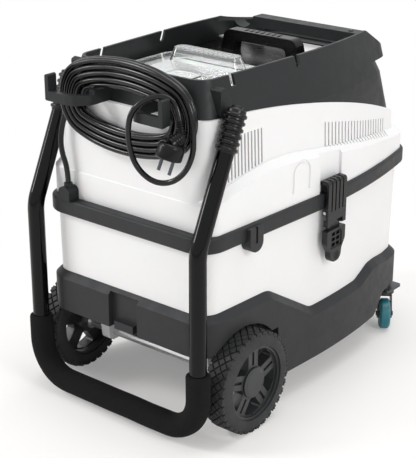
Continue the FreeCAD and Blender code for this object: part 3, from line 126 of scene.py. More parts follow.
# %% A moulded surface: grain, slow tone and soft edges
def mould(tree, shader, light, dark, grain_mm, depth_mm, rough, edge_mm):
    place = add_node(tree, "ShaderNodeTexCoord").outputs["Object"]
    patches = add_node(tree, "ShaderNodeTexNoise", {"Scale": 1 / (90 * MM), "Detail": 3.0}, {"Vector": place})
    tone = add_node(tree, "ShaderNodeMix", {"A": linear(dark), "B": linear(light)},
                    {"Factor": patches.outputs["Fac"]}, data_type="RGBA")
    scuffs = add_node(tree, "ShaderNodeTexNoise", {"Scale": 1 / (20 * MM), "Detail": 6.0, "Roughness": 0.7},
                      {"Vector": place})
    gloss = add_node(tree, "ShaderNodeMapRange",
                     {"From Min": 0.35, "From Max": 0.65, "To Min": rough[0], "To Max": rough[1]},
                     {"Value": scuffs.outputs["Fac"]})
    edge = add_node(tree, "ShaderNodeBevel", {"Radius": edge_mm * MM}, samples=6)
    grain = add_node(tree, "ShaderNodeTexNoise", {"Scale": 1 / (grain_mm * MM), "Detail": 2.0},
                     {"Vector": place})
    bump = add_node(tree, "ShaderNodeBump", {"Strength": 1.0, "Distance": depth_mm * MM},
                    {"Height": grain.outputs["Fac"], "Normal": edge.outputs["Normal"]})
    tree.links.new(tone.outputs["Result"], shader.inputs["Base Color"])
    tree.links.new(gloss.outputs["Result"], shader.inputs["Roughness"])
    tree.links.new(bump.outputs["Normal"], shader.inputs["Normal"])


# %% [markdown]
# The base, rim, tray and hooks are black polypropylene with a fine spark-eroded grain. It looks charcoal
# rather than black, because the grain scatters light from every side. The real grain is about 0.3 mm, too
# fine for the picture, so it is drawn at 1.2 mm.

# %% Black polypropylene mouldings
black_pp, tree, shader = new_material("black_polypropylene", "#2D2E30", 0.5, IOR=1.49,
                                      Specular_IOR_Level=0.24)
mould(tree, shader, "#313234", "#292A2C", grain_mm=1.2, depth_mm=0.02, rough=(0.42, 0.55), edge_mm=0.9)
tray_pp, tree, shader = new_material("tray_polypropylene", "#262829", 0.45, IOR=1.49, Specular_IOR_Level=0.22)
mould(tree, shader, "#292B2C", "#222425", grain_mm=1.2, depth_mm=0.02, rough=(0.36, 0.5), edge_mm=0.9)

# %% [markdown]
# The tank and the motor head are white polyethylene, a soft and slightly waxy plastic. A little light goes
# into it and comes out again close by, so a small subsurface amount softens its shadows.

# %% White polyethylene tank and head
white_pe, tree, shader = new_material("white_polyethylene", "#EDEDED", 0.35, IOR=1.51,
                                      Subsurface_Weight=0.08, Subsurface_Scale=0.004)
mould(tree, shader, "#EFEFEF", "#EAEAEB", grain_mm=2.0, depth_mm=0.012, rough=(0.30, 0.42), edge_mm=1.2)
bucket_pp, tree, shader = new_material("natural_polypropylene", "#ECECEB", 0.4, IOR=1.49,
                                       Subsurface_Weight=0.2, Subsurface_Scale=0.006)
mould(tree, shader, "#EFEFEE", "#E8E8E7", grain_mm=2.0, depth_mm=0.012, rough=(0.34, 0.46), edge_mm=0.8)

# %% [markdown]
# The push handle is steel tube under gloss black powder coat: a clear skin over black, with the faint ripple
# that painters call orange peel, about 2 mm from crest to crest.

# %% Gloss black powder coat
powder_coat, tree, shader = new_material("powder_coated_steel", "#060607", 0.1, IOR=1.5,
                                         Specular_IOR_Level=0.2)
place = add_node(tree, "ShaderNodeTexCoord").outputs["Object"]
peel = add_node(tree, "ShaderNodeTexNoise", {"Scale": 1 / (2 * MM), "Detail": 1.0}, {"Vector": place})
ripple = add_node(tree, "ShaderNodeBump", {"Strength": 1.0, "Distance": 0.006 * MM},
                  {"Height": peel.outputs["Fac"]})
tree.links.new(ripple.outputs["Normal"], shader.inputs["Normal"])

# %% [markdown]
# The grip is closed-cell foam rubber. It has no shine at all, and its skin shows burst cells of under a
# millimetre, drawn here at 1.1 mm as small round pits.

# %% Foam rubber, sleeve rubber and tyre rubber
foam, tree, shader = new_material("foam_rubber", "#151516", 0.95, IOR=1.5, Specular_IOR_Level=0.15)
place = add_node(tree, "ShaderNodeTexCoord").outputs["Object"]
cells = add_node(tree, "ShaderNodeTexVoronoi", {"Scale": 1 / (1.1 * MM)}, {"Vector": place})
lumps = add_node(tree, "ShaderNodeTexNoise", {"Scale": 1 / (8 * MM), "Detail": 4.0}, {"Vector": place})
pits = add_node(tree, "ShaderNodeBump", {"Strength": 0.6, "Distance": 0.15 * MM},
                {"Height": cells.outputs["Distance"]})
skin = add_node(tree, "ShaderNodeBump", {"Strength": 0.5, "Distance": 0.6 * MM},
                {"Height": lumps.outputs["Fac"], "Normal": pits.outputs["Normal"]})
tone = add_node(tree, "ShaderNodeMix", {"A": linear("#121213"), "B": linear("#1A1A1B")},
                {"Factor": lumps.outputs["Fac"]}, data_type="RGBA")
tree.links.new(tone.outputs["Result"], shader.inputs["Base Color"])
tree.links.new(skin.outputs["Normal"], shader.inputs["Normal"])

sleeve_rubber, tree, shader = new_material("moulded_rubber", "#0D0D0E", 0.28, IOR=1.52,
                                           Specular_IOR_Level=0.28)
mould(tree, shader, "#0F0F10", "#0B0B0C", grain_mm=1.4, depth_mm=0.01, rough=(0.2, 0.34), edge_mm=0.6)
tyre_rubber, tree, shader = new_material("tyre_rubber", "#2B2C2D", 0.62, IOR=1.52, Specular_IOR_Level=0.4)
mould(tree, shader, "#303132", "#252627", grain_mm=1.6, depth_mm=0.05, rough=(0.6, 0.8), edge_mm=0.6)

# %% [markdown]
# The cord's jacket is soft PVC, smooth and half glossy. Zinc-plated steel is grey and bright with a slight
# cloudiness. The casters are teal polyurethane, which shines like hard rubber.

# %% Cord jacket, metals, nylon, polyurethane and clear lid
jacket, tree, shader = new_material("pvc_jacket", "#09090A", 0.2, IOR=1.53, Specular_IOR_Level=0.34)
place = add_node(tree, "ShaderNodeTexCoord").outputs["Object"]
wear = add_node(tree, "ShaderNodeTexNoise", {"Scale": 1 / (6 * MM), "Detail": 5.0}, {"Vector": place})
gloss = add_node(tree, "ShaderNodeMapRange",
                 {"From Min": 0.3, "From Max": 0.7, "To Min": 0.14, "To Max": 0.26},
                 {"Value": wear.outputs["Fac"]})
tree.links.new(gloss.outputs["Result"], shader.inputs["Roughness"])

zinc, tree, shader = new_material("zinc_plated_steel", "#CFD0D1", 0.32, Metallic=1.0)
place = add_node(tree, "ShaderNodeTexCoord").outputs["Object"]
cloud = add_node(tree, "ShaderNodeTexNoise", {"Scale": 1 / (4 * MM), "Detail": 6.0}, {"Vector": place})
tone = add_node(tree, "ShaderNodeMix", {"A": linear("#BFC0C1"), "B": linear("#DBDCDD")},
                {"Factor": cloud.outputs["Fac"]}, data_type="RGBA")
gloss = add_node(tree, "ShaderNodeMapRange", {"To Min": 0.25, "To Max": 0.42},
                 {"Value": cloud.outputs["Fac"]})
tree.links.new(tone.outputs["Result"], shader.inputs["Base Color"])
tree.links.new(gloss.outputs["Result"], shader.inputs["Roughness"])

dark_zinc, tree, shader = new_material("black_passivated_steel", "#55575A", 0.4, Metallic=1.0)
place = add_node(tree, "ShaderNodeTexCoord").outputs["Object"]
film = add_node(tree, "ShaderNodeTexNoise", {"Scale": 1 / (5 * MM), "Detail": 4.0}, {"Vector": place})
gloss = add_node(tree, "ShaderNodeMapRange", {"To Min": 0.32, "To Max": 0.5},
                 {"Value": film.outputs["Fac"]})
tree.links.new(gloss.outputs["Result"], shader.inputs["Roughness"])

brass, tree, shader = new_material("turned_brass", "#C29B55", 0.25, Metallic=1.0)
place = add_node(tree, "ShaderNodeTexCoord").outputs["Object"]
turning = add_node(tree, "ShaderNodeTexNoise", {"Scale": 1 / (1.5 * MM), "Detail": 2.0}, {"Vector": place})
gloss = add_node(tree, "ShaderNodeMapRange", {"To Min": 0.2, "To Max": 0.38},
                 {"Value": turning.outputs["Fac"]})
tree.links.new(gloss.outputs["Result"], shader.inputs["Roughness"])

nylon, tree, shader = new_material("black_nylon", "#2B2D2E", 0.4, IOR=1.53, Specular_IOR_Level=0.45)
mould(tree, shader, "#313334", "#27292A", grain_mm=1.3, depth_mm=0.02, rough=(0.34, 0.48), edge_mm=0.7)
gloss_black, tree, shader = new_material("polished_abs", "#0A0A0B", 0.26, IOR=1.54, Specular_IOR_Level=0.2)
mould(tree, shader, "#0C0C0D", "#08080A", grain_mm=1.3, depth_mm=0.008, rough=(0.18, 0.3), edge_mm=0.7)
latch_abs, tree, shader = new_material("moulded_abs", "#161718", 0.32, IOR=1.54, Specular_IOR_Level=0.3)
mould(tree, shader, "#191A1B", "#131415", grain_mm=1.3, depth_mm=0.01, rough=(0.24, 0.38), edge_mm=0.7)
teal, tree, shader = new_material("teal_polyurethane", "#226F7C", 0.35, IOR=1.5)
mould(tree, shader, "#257582", "#1E626D", grain_mm=1.5, depth_mm=0.02, rough=(0.28, 0.42), edge_mm=0.8)
fan_metal, tree, shader = new_material("pressed_aluminium", "#C9CACC", 0.4, Metallic=1.0)
motor_paint, tree, shader = new_material("motor_enamel", "#3A3C3E", 0.45, IOR=1.5)
mould(tree, shader, "#3E4042", "#353739", grain_mm=1.4, depth_mm=0.02, rough=(0.38, 0.52), edge_mm=0.6)

clear_pc, tree, shader = new_material("clear_polycarbonate", "#FCFDFD", 0.06, IOR=1.52,
                                      Transmission_Weight=0.97)
place = add_node(tree, "ShaderNodeTexCoord").outputs["Object"]
flow = add_node(tree, "ShaderNodeTexNoise", {"Scale": 1 / (20 * MM), "Detail": 2.0}, {"Vector": place})
wave = add_node(tree, "ShaderNodeBump", {"Strength": 0.5, "Distance": 0.15 * MM},
                {"Height": flow.outputs["Fac"]})
tree.links.new(wave.outputs["Normal"], shader.inputs["Normal"])
# A thin clear wall casts almost no shadow, so lamps reach the bucket below it
open_air = add_node(tree, "ShaderNodeBsdfTransparent", {"Color": linear("#F6F8F8")})
ray = add_node(tree, "ShaderNodeLightPath")
lid_mix = add_node(tree, "ShaderNodeMixShader", links={0: ray.outputs["Is Shadow Ray"],
                                                       1: shader.outputs["BSDF"], 2: open_air.outputs[0]})
tree.links.new(lid_mix.outputs[0], tree.nodes["Material Output"].inputs["Surface"])

# %% [markdown]
# A rigid piece that already has the right shape keeps it, and only takes its finish.

# %% Dress the frame's own pieces
dress = {
    black_pp: ["base_chassis", "band_frame", "band_clips"],
    tray_pp: ["top_tray", "cord_hooks", "cord_gland"],
    gloss_black: ["carry_handle", "switch_panel", "switch_rocker"],
    latch_abs: ["latch_bases", "latch_keepers", "right_latch_lever", "right_latch_hook", "left_latch_lever",
                "left_latch_hook"],
    white_pe: ["solution_tank", "motor_housing", "front_cover", "axle_brackets"],
    bucket_pp: ["recovery_bucket"],
    clear_pc: ["clear_lid"],
    powder_coat: ["push_handle_tube"],
    nylon: ["right_rim", "left_rim", "right_hub_cap", "left_hub_cap", "right_caster_fork", "left_caster_fork",
            "suction_duct", "bucket_duct", "inlet_duct", "hose_port", "float_cage", "float_ball"],
    teal: ["right_caster_wheel", "left_caster_wheel"],
    zinc: ["rear_axle", "axle_clips", "pivot_studs", "latch_pins"],
    dark_zinc: ["caster_plates", "housing_screws", "plug_pins"],
    brass: ["solution_coupler"],
    sleeve_rubber: ["tank_seal", "lid_gasket", "motor_mount"],
    motor_paint: ["vacuum_motor", "solution_pump"],
    fan_metal: ["motor_fan"],
}
for material, members in dress.items():
    for member in members:
        nodes[member].data.materials.clear()
        nodes[member].data.materials.append(material)

# %% [markdown]
# The mains cord is one fixed length of flexible cable, so it is one smooth curve: up from its gland, round
# the hooks in two layers of loops, and down to the plug. A NURBS curve passes inside its control points, so
# points on a bend of radius r stand outside it by the small share that brings the curve itself back to r.

# %% Mains cord
CORD_R = 0.004
lead_points = [
    (-0.109, -0.256, 0.341),
    (-0.109, -0.256, 0.363),
    (-0.118, -0.259, 0.390),
    (-0.120, -0.2555, 0.418),
    (-0.114, -0.2516, 0.443),
    (-0.114, -0.2516, 0.459),
]
tail_points = [
    (0.136, -0.2606, 0.459),
    (0.136, -0.2606, 0.438),
    (0.128, -0.267, 0.411),
    (0.108, -0.275, 0.393),
    (0.083, -0.284, 0.392),
    (0.062, -0.292, 0.410),
    (0.054, -0.297, 0.437),
    (0.055, -0.301, 0.467),
    (0.062, -0.298, 0.495),
    (0.079, -0.282, 0.510),
    (0.100, -0.2715, 0.513),
    (0.117, -0.2697, 0.502),
    (0.122, -0.2715, 0.482),
]
COIL_CENTRE = Vector((0.011, 0, 0.475))
COIL_HALF_WIDTH = 0.125
COIL_HALF_HEIGHT = 0.0685
COIL_PITCH = 0.009
COIL_TURNS = 4
END_TURN = math.radians(74)
LAYER_Y = (-0.2516, -0.2606)
# Two layers of whole turns, and half a turn more to end beside the tail
quarter_turns = 2 * 4 * COIL_TURNS + 2
end_steps = 4
crest_steps = 3


def coil_point(quarters, normal_angle, spacing):
    # A point of the oval loop after this many quarter turns, where its outward normal has this angle
    drawn = COIL_PITCH / 4 * min(quarters, quarter_turns - quarters)
    half_width = COIL_HALF_WIDTH - drawn
    half_height = COIL_HALF_HEIGHT - drawn
    flat = (1 - math.sin(END_TURN)) / math.cos(END_TURN)
    tight = (half_height - half_width * flat) / (math.sin(END_TURN) - (1 - math.cos(END_TURN)) * flat)
    wide = tight + (half_width - tight) / math.cos(END_TURN)
    lean = abs(math.asin(math.sin(normal_angle)))
    across = 1 if math.cos(normal_angle) >= 0 else -1
    up = 1 if math.sin(normal_angle) >= 0 else -1
    # The curve's middle is three quarters its own point and an eighth of each neighbour
    outside = 0.75 + 0.25 * math.cos(spacing)
    if lean <= END_TURN:
        x = half_width - tight + tight / outside * math.cos(lean)
        z = tight / outside * math.sin(lean)
    else:
        x = wide / outside * math.cos(lean)
        z = half_height - wide + wide / outside * math.sin(lean)
    # Half way through, the cord eases over from the inner layer to the outer one
    crossing = min(max((quarters - quarter_turns / 2 + 1) / 2, 0), 1)
    depth = LAYER_Y[0] + (LAYER_Y[1] - LAYER_Y[0]) * crossing * crossing * (3 - 2 * crossing)
    return COIL_CENTRE + Vector((across * x, depth, up * z))


def coil_points():
    # Even steps of the normal round the tight ends, then even steps over the wide top and bottom
    ticks = [(END_TURN * i / end_steps, END_TURN / end_steps) for i in range(end_steps)]
    crest = math.pi / 2 - END_TURN
    ticks += [(END_TURN + crest * (i + 0.5) / crest_steps, crest / crest_steps) for i in range(crest_steps)]
    points = []
    for quarter in range(quarter_turns):
        rising = [(angle / (math.pi / 2), spacing) for angle, spacing in ticks]
        falling = [(1 - share, spacing) for share, spacing in reversed(rising[1:])]
        steps = rising if quarter % 2 == 0 else falling
        for share, spacing in steps:
            turned = quarter + share
            points.append(coil_point(turned, math.pi - turned * math.pi / 2, spacing))
    points.append(coil_point(quarter_turns, math.pi - quarter_turns * math.pi / 2, ticks[0][1]))
    return points


def nurbs_line(name, points, radius, material):
    curve = bpy.data.curves.new(name, "CURVE")
    curve.dimensions = "3D"
    spline = curve.splines.new("NURBS")
    spline.points.add(len(points) - 1)
    for point, place in zip(spline.points, points):
        point.co = (*place, 1)
    spline.order_u = 3
    spline.use_endpoint_u = True
    spline.resolution_u = 8
    curve.bevel_depth = radius
    curve.bevel_resolution = 6
    curve.use_fill_caps = True
    curve.materials.append(material)
    line = bpy.data.objects.new(name, curve)
    scene.collection.objects.link(line)
    return line


route = lead_points + coil_points() + tail_points
mains_cord = nurbs_line("mains_cord", route, CORD_R, jacket)
print("cord points", len(route))

# %% [markdown]
# A pin, a rubber ring and a cone are all turned shapes: one outline spun about one line. Spinning an outline
# in code gives full control of every groove. The outline is a list of places along the axis with a radius at
# each, and where it begins and ends at radius 0 the skin closes by itself.


# %% Turning an outline about an axis
def turned_mesh(name, outline, start, axis, sides=48, closed=False):
    shape = bmesh.new()
    turn = Z.rotation_difference(Vector(axis)).to_matrix().to_4x4()
    place = Matrix.Translation(Vector(start)) @ turn
    rings = []
    for along, radius in outline:
        if radius < 1e-6:
            rings.append([shape.verts.new(place @ Vector((0, 0, along)))])
            continue
        angles = [2 * math.pi * i / sides for i in range(sides)]
        rings.append([shape.verts.new(place @ Vector((radius * math.cos(a), radius * math.sin(a), along)))
                      for a in angles])
    pairs = list(zip(rings, rings[1:])) + ([(rings[-1], rings[0])] if closed else [])
    for low, high in pairs:
        for i in range(sides):
            j = (i + 1) % sides
            if len(low) == 1:
                shape.faces.new((low[0], high[j], high[i]))
            elif len(high) == 1:
                shape.faces.new((low[i], low[j], high[0]))
            else:
                shape.faces.new((low[i], low[j], high[j], high[i]))
    bmesh.ops.recalc_face_normals(shape, faces=shape.faces)
    mesh = bpy.data.meshes.new(name)
    shape.to_mesh(mesh)
    shape.free()
    soften(mesh)
    return mesh


def soften(mesh, angle=35):
    for face in mesh.polygons:
        face.use_smooth = True
    mesh.set_sharp_from_angle(angle=math.radians(angle))


def joined(name, meshes):
    shape = bmesh.new()
    for mesh in meshes:
        shape.from_mesh(mesh)
    whole = bpy.data.meshes.new(name)
    shape.to_mesh(whole)
    shape.free()
    soften(whole)
    return whole


# %% [markdown]
# The plug is moulded onto the cord. Its strain relief is a soft cone of rings that lets the cord bend without
# kinking, then a ridged neck for the fingers, then the round head that carries the two pins.

# %% Plug with its strain relief
relief_start = Vector(tail_points[-1])
relief_dir = (relief_start - Vector(tail_points[-2])).normalized()
RELIEF_LEN = 0.020
relief_end = relief_start + relief_dir * RELIEF_LEN
head_top = Vector((0.121, -0.2845, 0.455))
pin_dir = Vector((-0.15, -0.30, -0.94)).normalized()
RELIEF_RINGS, RELIEF_R, RELIEF_SPREAD = 6, 0.0050, 0.0016
NECK_RIDGES, NECK_R, NECK_SPREAD = 4, 0.0079, 0.0028
HEAD_R = 0.0185
relief_outline = [(-0.001, 0.0), (-0.001, 0.0046)]
for ring_index in range(RELIEF_RINGS):
    share = ring_index / RELIEF_RINGS
    low = RELIEF_LEN * share
    radius = RELIEF_R + RELIEF_SPREAD * share
    relief_outline += [(low + 0.0004, radius - 0.0008), (low + 0.0010, radius + 0.0005),
                       (low + 0.0022, radius + 0.0005), (low + 0.0028, radius - 0.0008)]
relief_outline += [(RELIEF_LEN + 0.002, 0.0070), (RELIEF_LEN + 0.004, 0.0)]
relief_mesh = turned_mesh("relief", relief_outline, relief_start, relief_dir, 32)
neck_dir = head_top - relief_end
neck_len = neck_dir.length
neck_outline = [(-0.004, 0.0), (-0.003, 0.0058), (-0.001, 0.0076)]
for ridge in range(NECK_RIDGES):
    share = ridge / NECK_RIDGES
    at = neck_len * share
    radius = NECK_R + NECK_SPREAD * share
    neck_outline += [(at + 0.0004, radius - 0.0005), (at + 0.0014, radius + 0.0004),
                     (at + 0.0034, radius + 0.0006)]
neck_outline += [(neck_len + 0.002, 0.0112), (neck_len + 0.004, 0.0)]
neck_mesh = turned_mesh("neck", neck_outline, relief_end, neck_dir.normalized(), 40)
head_outline = [(0, 0), (0, 0.0140), (0.0012, 0.0166), (0.0035, 0.0181), (0.0055, HEAD_R), (0.0196, HEAD_R),
                (0.0212, 0.0180), (0.0220, 0.0166), (0.0220, 0.0150), (0.0206, 0.0146), (0.0206, 0.0)]
head_mesh = turned_mesh("head", head_outline, head_top, pin_dir, 64)
plug = add_object("mains_plug", joined("mains_plug", [relief_mesh, neck_mesh, head_mesh]), gloss_black)
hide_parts("plug_body")
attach(plug, "machine")
print("plug head across", round(2 * HEAD_R / MM, 1), "mm")

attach(mains_cord, "machine")
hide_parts("cord_lead", "cord_coil", "cord_tail")

# %% [markdown]
# The foam grip is a soft tube pushed over the handle's bottom bend. It follows the same line as the steel:
# two straight legs, two round corners and the bar. Sweeping a circle along that line gives its skin; the ends
# roll inwards to the steel, as cut foam does, and slow lumps of a tenth of a millimetre keep it from looking
# machined.

# %% Foam grip along the handle's bend
LEG_X, LEG_Y = 0.1575, AXLE_Y - 0.097
BAR_Z, BEND_R, GRIP_TOP = 0.0243, 0.057, 0.122
GRIP_R, GRIP_RING_PITCH, GRIP_LUMP = 0.018, 0.006, 0.00012
UPPER_RING_DROP = 0.012


def handle_line(spacing):
    # Centre line of the grip from the right leg's top, down, across and up the left leg
    heights = (GRIP_TOP, GRIP_TOP - UPPER_RING_DROP, (GRIP_TOP + BAR_Z + BEND_R) / 2)
    line = [Vector((LEG_X, LEG_Y, z)) for z in heights]
    bend_steps = round(BEND_R * math.pi / 2 / spacing)
    for step in range(bend_steps + 1):
        angle = math.pi / 2 * step / bend_steps
        line.append(Vector((LEG_X - BEND_R + BEND_R * math.cos(angle), LEG_Y,
                            BAR_Z + BEND_R - BEND_R * math.sin(angle))))
    half_bar = LEG_X - BEND_R
    bar_steps = round(2 * half_bar / spacing)
    bar = [Vector((half_bar - 2 * half_bar * i / bar_steps, LEG_Y, BAR_Z)) for i in range(1, bar_steps)]
    return line + bar + [Vector((-p.x, p.y, p.z)) for p in reversed(line)]


def swept_skin(name, line, radii, sides, lump):
    # Rings round a line in the plane of the handle, with a flat face at each end
    shape = bmesh.new()
    rings = []
    for i, point in enumerate(line):
        along = (line[min(i + 1, len(line) - 1)] - line[max(i - 1, 0)]).normalized()
        side = along.cross(Y).normalized()
        ring = []
        for k in range(sides):
            angle = 2 * math.pi * k / sides
            # Two slow waves of different pitch, running round the grip and along it
            wave = math.sin(7 * angle + 90 * point.x) + math.sin(3 * angle - 70 * point.x + 55 * point.z)
            outward = side * math.cos(angle) + Y * math.sin(angle)
            ring.append(shape.verts.new(point + outward * (radii[i] + lump * wave)))
        rings.append(ring)
    for low, high in zip(rings, rings[1:]):
        for k in range(sides):
            shape.faces.new((low[k], low[(k + 1) % sides], high[(k + 1) % sides], high[k]))
    for ring in (rings[0], rings[-1]):
        shape.faces.new(ring)
    bmesh.ops.recalc_face_normals(shape, faces=shape.faces)
    mesh = bpy.data.meshes.new(name)
    shape.to_mesh(mesh)
    shape.free()
    soften(mesh, 60)
    return mesh


grip_line = handle_line(GRIP_RING_PITCH)
end_roll = [(0.0, 0.0134), (0.0004, 0.0158), (0.0016, 0.0172), (0.0040, 0.0179)]
right_end = [Vector((LEG_X, LEG_Y, GRIP_TOP - depth)) for depth, _ in end_roll]
left_end = [Vector((-LEG_X, LEG_Y, GRIP_TOP - depth)) for depth, _ in reversed(end_roll)]
grip_line = right_end + grip_line[1:-1] + left_end
roll_radii = [radius for _, radius in end_roll]
# The lumps rise from a skin that lies a tenth of a millimetre in, so the grip keeps its size
SKIN_IN = 0.0001
middle_radii = [GRIP_R - SKIN_IN] * (len(grip_line) - 2 * len(end_roll))
grip_radii = roll_radii + middle_radii + roll_radii[::-1]
grip = add_object("foam_grip", swept_skin("foam_grip", grip_line, grip_radii, 40, GRIP_LUMP), foam)
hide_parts("push_handle_grip")
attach(grip, "push_handle")

# %% [markdown]
# Geometry Nodes place copies by a rule. This first tree sets one object on a straight line of points, a fixed
# pitch apart. Its sizes are named inputs, and it ends by making the copies real and giving them one material.


# %% A node tree that repeats a shape along a line, and the way to use it
def tree_with_inputs(name, inputs):
    tree = bpy.data.node_groups.new(name, "GeometryNodeTree")
    for label, kind in inputs.items():
        tree.interface.new_socket(name=label, in_out="INPUT", socket_type="NodeSocket" + kind)
    tree.interface.new_socket(name="Geometry", in_out="OUTPUT", socket_type="NodeSocketGeometry")
    return tree, add_node(tree, "NodeGroupInput").outputs


def finish_tree(tree, instances, inputs):
    real = add_node(tree, "GeometryNodeRealizeInstances", links={"Geometry": instances})
    coloured = add_node(tree, "GeometryNodeSetMaterial", links={"Geometry": real.outputs["Geometry"],
                                                                "Material": inputs["Material"]})
    add_node(tree, "NodeGroupOutput", links={"Geometry": coloured.outputs["Geometry"]})


def grown_mesh(name, tree, **values):
    # Runs a tree on a passing object and keeps its result as a plain mesh
    carrier = add_object(name, bpy.data.meshes.new(name))
    modifier = carrier.modifiers.new("grow", "NODES")
    modifier.node_group = tree
    labels = {item.name: item.identifier for item in tree.interface.items_tree if item.in_out == "INPUT"}
    for label, value in values.items():
        modifier[labels[label.replace("_", " ")]] = value
    bpy.context.view_layer.update()
    evaluated = carrier.evaluated_get(bpy.context.evaluated_depsgraph_get())
    mesh = bpy.data.meshes.new_from_object(evaluated)
    bpy.data.objects.remove(carrier)
    mesh.name = name
    return mesh


def hidden_pattern(name, mesh):
    # A shape for a tree to copy, kept out of the scene itself
    return bpy.data.objects.new(name, mesh)


line_tree, group = tree_with_inputs("repeat_along_line", {"Shape": "Object", "Count": "Int", "Pitch": "Float",
                                                          "Start": "Float", "Material": "Material"})
points = add_node(line_tree, "GeometryNodePoints", links={"Count": group["Count"]})
number = add_node(line_tree, "GeometryNodeInputIndex")
height = add_node(line_tree, "ShaderNodeMath", operation="MULTIPLY_ADD",
                  links={0: number.outputs[0], 1: group["Pitch"], 2: group["Start"]})
spot = add_node(line_tree, "ShaderNodeCombineXYZ", links={"Z": height.outputs[0]})
spread = add_node(line_tree, "GeometryNodeSetPosition", links={"Geometry": points.outputs[0],
                                                               "Position": spot.outputs[0]})
shape_in = add_node(line_tree, "GeometryNodeObjectInfo", links={"Object": group["Shape"]})
copies = add_node(line_tree, "GeometryNodeInstanceOnPoints", links={"Points": spread.outputs[0],
                                                                    "Instance": shape_in.outputs["Geometry"]})
finish_tree(line_tree, copies.outputs[0], group)

# %% [markdown]
# The rubber sleeves over the handle's pivots are bellows: thick round flanges on a thinner sleeve, with a
# dome on top. One flange is turned once, and the tree stacks the rest.

# %% Bellows sleeves on the push handle's pivots
LEAN, LEAN_FROM_Z = math.radians(24.55), 0.3057
LEAN_DIR = Vector((0, math.sin(LEAN), math.cos(LEAN)))
SLEEVE_START, SLEEVE_LEN, FLANGES = 0.140, 0.066, 6
CORE_R, FLANGE_R = 0.0139, 0.0161
DOME_LEN, FIRST_FLANGE = 0.010, 0.0055
sleeve_foot = Vector((LEG_X, LEG_Y, LEAN_FROM_Z)) + LEAN_DIR * SLEEVE_START
flange_pitch = (SLEEVE_LEN - DOME_LEN) / FLANGES
flange_outline = [(-0.0034, FLANGE_R - 0.0033), (-0.0030, FLANGE_R - 0.0019), (-0.0021, FLANGE_R - 0.0006),
                  (-0.0008, FLANGE_R), (0.0008, FLANGE_R), (0.0021, FLANGE_R - 0.0006),
                  (0.0030, FLANGE_R - 0.0019), (0.0034, FLANGE_R - 0.0033)]
flange = hidden_pattern("flange", turned_mesh("flange", flange_outline, (0, 0, 0), Z, 40, closed=True))
core_outline = [(0, 0.0126), (0, CORE_R - 0.0008), (0.0005, CORE_R - 0.0005),
                (SLEEVE_LEN - 0.0075, CORE_R - 0.0005), (SLEEVE_LEN - 0.0062, 0.0128),
                (SLEEVE_LEN - 0.0050, 0.0098), (SLEEVE_LEN - 0.0036, 0.0086), (SLEEVE_LEN - 0.0016, 0.0078),
                (SLEEVE_LEN - 0.0004, 0.0058), (SLEEVE_LEN, 0.0)]
tilt = Z.rotation_difference(LEAN_DIR).to_matrix().to_4x4()
for side in (1, -1):
    foot = Vector((side * sleeve_foot.x, sleeve_foot.y, sleeve_foot.z))
    stack = grown_mesh("stack", line_tree, Shape=flange, Count=FLANGES, Pitch=flange_pitch,
                       Start=FIRST_FLANGE, Material=sleeve_rubber)
    core = turned_mesh("core", core_outline, (0, 0, 0), Z, 40)
    both = joined("sleeve", [stack, core])
    both.transform(Matrix.Translation(foot) @ tilt)
    sleeve = add_object("right_sleeve" if side > 0 else "left_sleeve", both, sleeve_rubber)
    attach(sleeve, "push_handle")
    if side > 0:
        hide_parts("tube_sleeves")

# %% [markdown]
# The lid's cross ridge is ribbed on top, so that wet fingers can lift it. The same tree lays the ribs in a
# row, and the row is then turned from upright to crosswise.

# %% Grip ribs on the clear lid's ridge
RIBS, RIB_PITCH, RIB_R, RIB_HALF, RIB_PROUD = 11, 0.009, 0.0021, 0.009, 0.0008
RIDGE_Y = AXLE_Y + 0.114
ridge_top = max(vertex.co.z for vertex in nodes["clear_lid"].data.vertices)
rib_outline = [(-RIB_HALF, 0.0), (-RIB_HALF, RIB_R - 0.0007), (-RIB_HALF + 0.0007, RIB_R),
               (RIB_HALF - 0.0007, RIB_R), (RIB_HALF, RIB_R - 0.0007), (RIB_HALF, 0.0)]
rib = hidden_pattern("rib", turned_mesh("rib", rib_outline, (0, 0, 0), Y, 20))
rib_row = grown_mesh("rib_row", line_tree, Shape=rib, Count=RIBS, Pitch=RIB_PITCH,
                     Start=-RIB_PITCH * (RIBS - 1) / 2, Material=clear_pc)
crosswise = Z.rotation_difference(X).to_matrix().to_4x4()
rib_row.transform(Matrix.Translation((0, RIDGE_Y, ridge_top + RIB_PROUD - RIB_R)) @ crosswise)
soften(rib_row)
lid_ribs = add_object("lid_ribs", rib_row, clear_pc)
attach(lid_ribs, "lid")
print("lid ribs", RIBS, "at height", round(ridge_top, 4))

# %% [markdown]
# The tyres are solid rubber with a block tread: rows of small diamonds divided by crossing diagonal grooves,
# and a row of lugs round each shoulder. A second tree sets blocks round a circle, row by row, each row half a
# step further round than the one before.

# %% A node tree that rings a wheel with blocks
ring_tree, group = tree_with_inputs("blocks_round_wheel", {"Shape": "Object", "Count": "Int", "Rows": "Int",
                                                           "Row Pitch": "Float", "Row Start": "Float",
                                                           "Radius": "Float", "Material": "Material"})
total = add_node(ring_tree, "ShaderNodeMath", operation="MULTIPLY",
                 links={0: group["Count"], 1: group["Rows"]})
points = add_node(ring_tree, "GeometryNodePoints", links={"Count": total.outputs[0]})
number = add_node(ring_tree, "GeometryNodeInputIndex")
ratio = add_node(ring_tree, "ShaderNodeMath", operation="DIVIDE",
                 links={0: number.outputs[0], 1: group["Count"]})
row = add_node(ring_tree, "ShaderNodeMath", operation="FLOOR", links={0: ratio.outputs[0]})
share = add_node(ring_tree, "ShaderNodeMath", operation="FRACT", links={0: ratio.outputs[0]})
parity = add_node(ring_tree, "ShaderNodeMath", {1: 2.0}, {0: row.outputs[0]}, operation="MODULO")
stagger = add_node(ring_tree, "ShaderNodeMath", operation="DIVIDE",
                   links={0: parity.outputs[0], 1: group["Count"]})
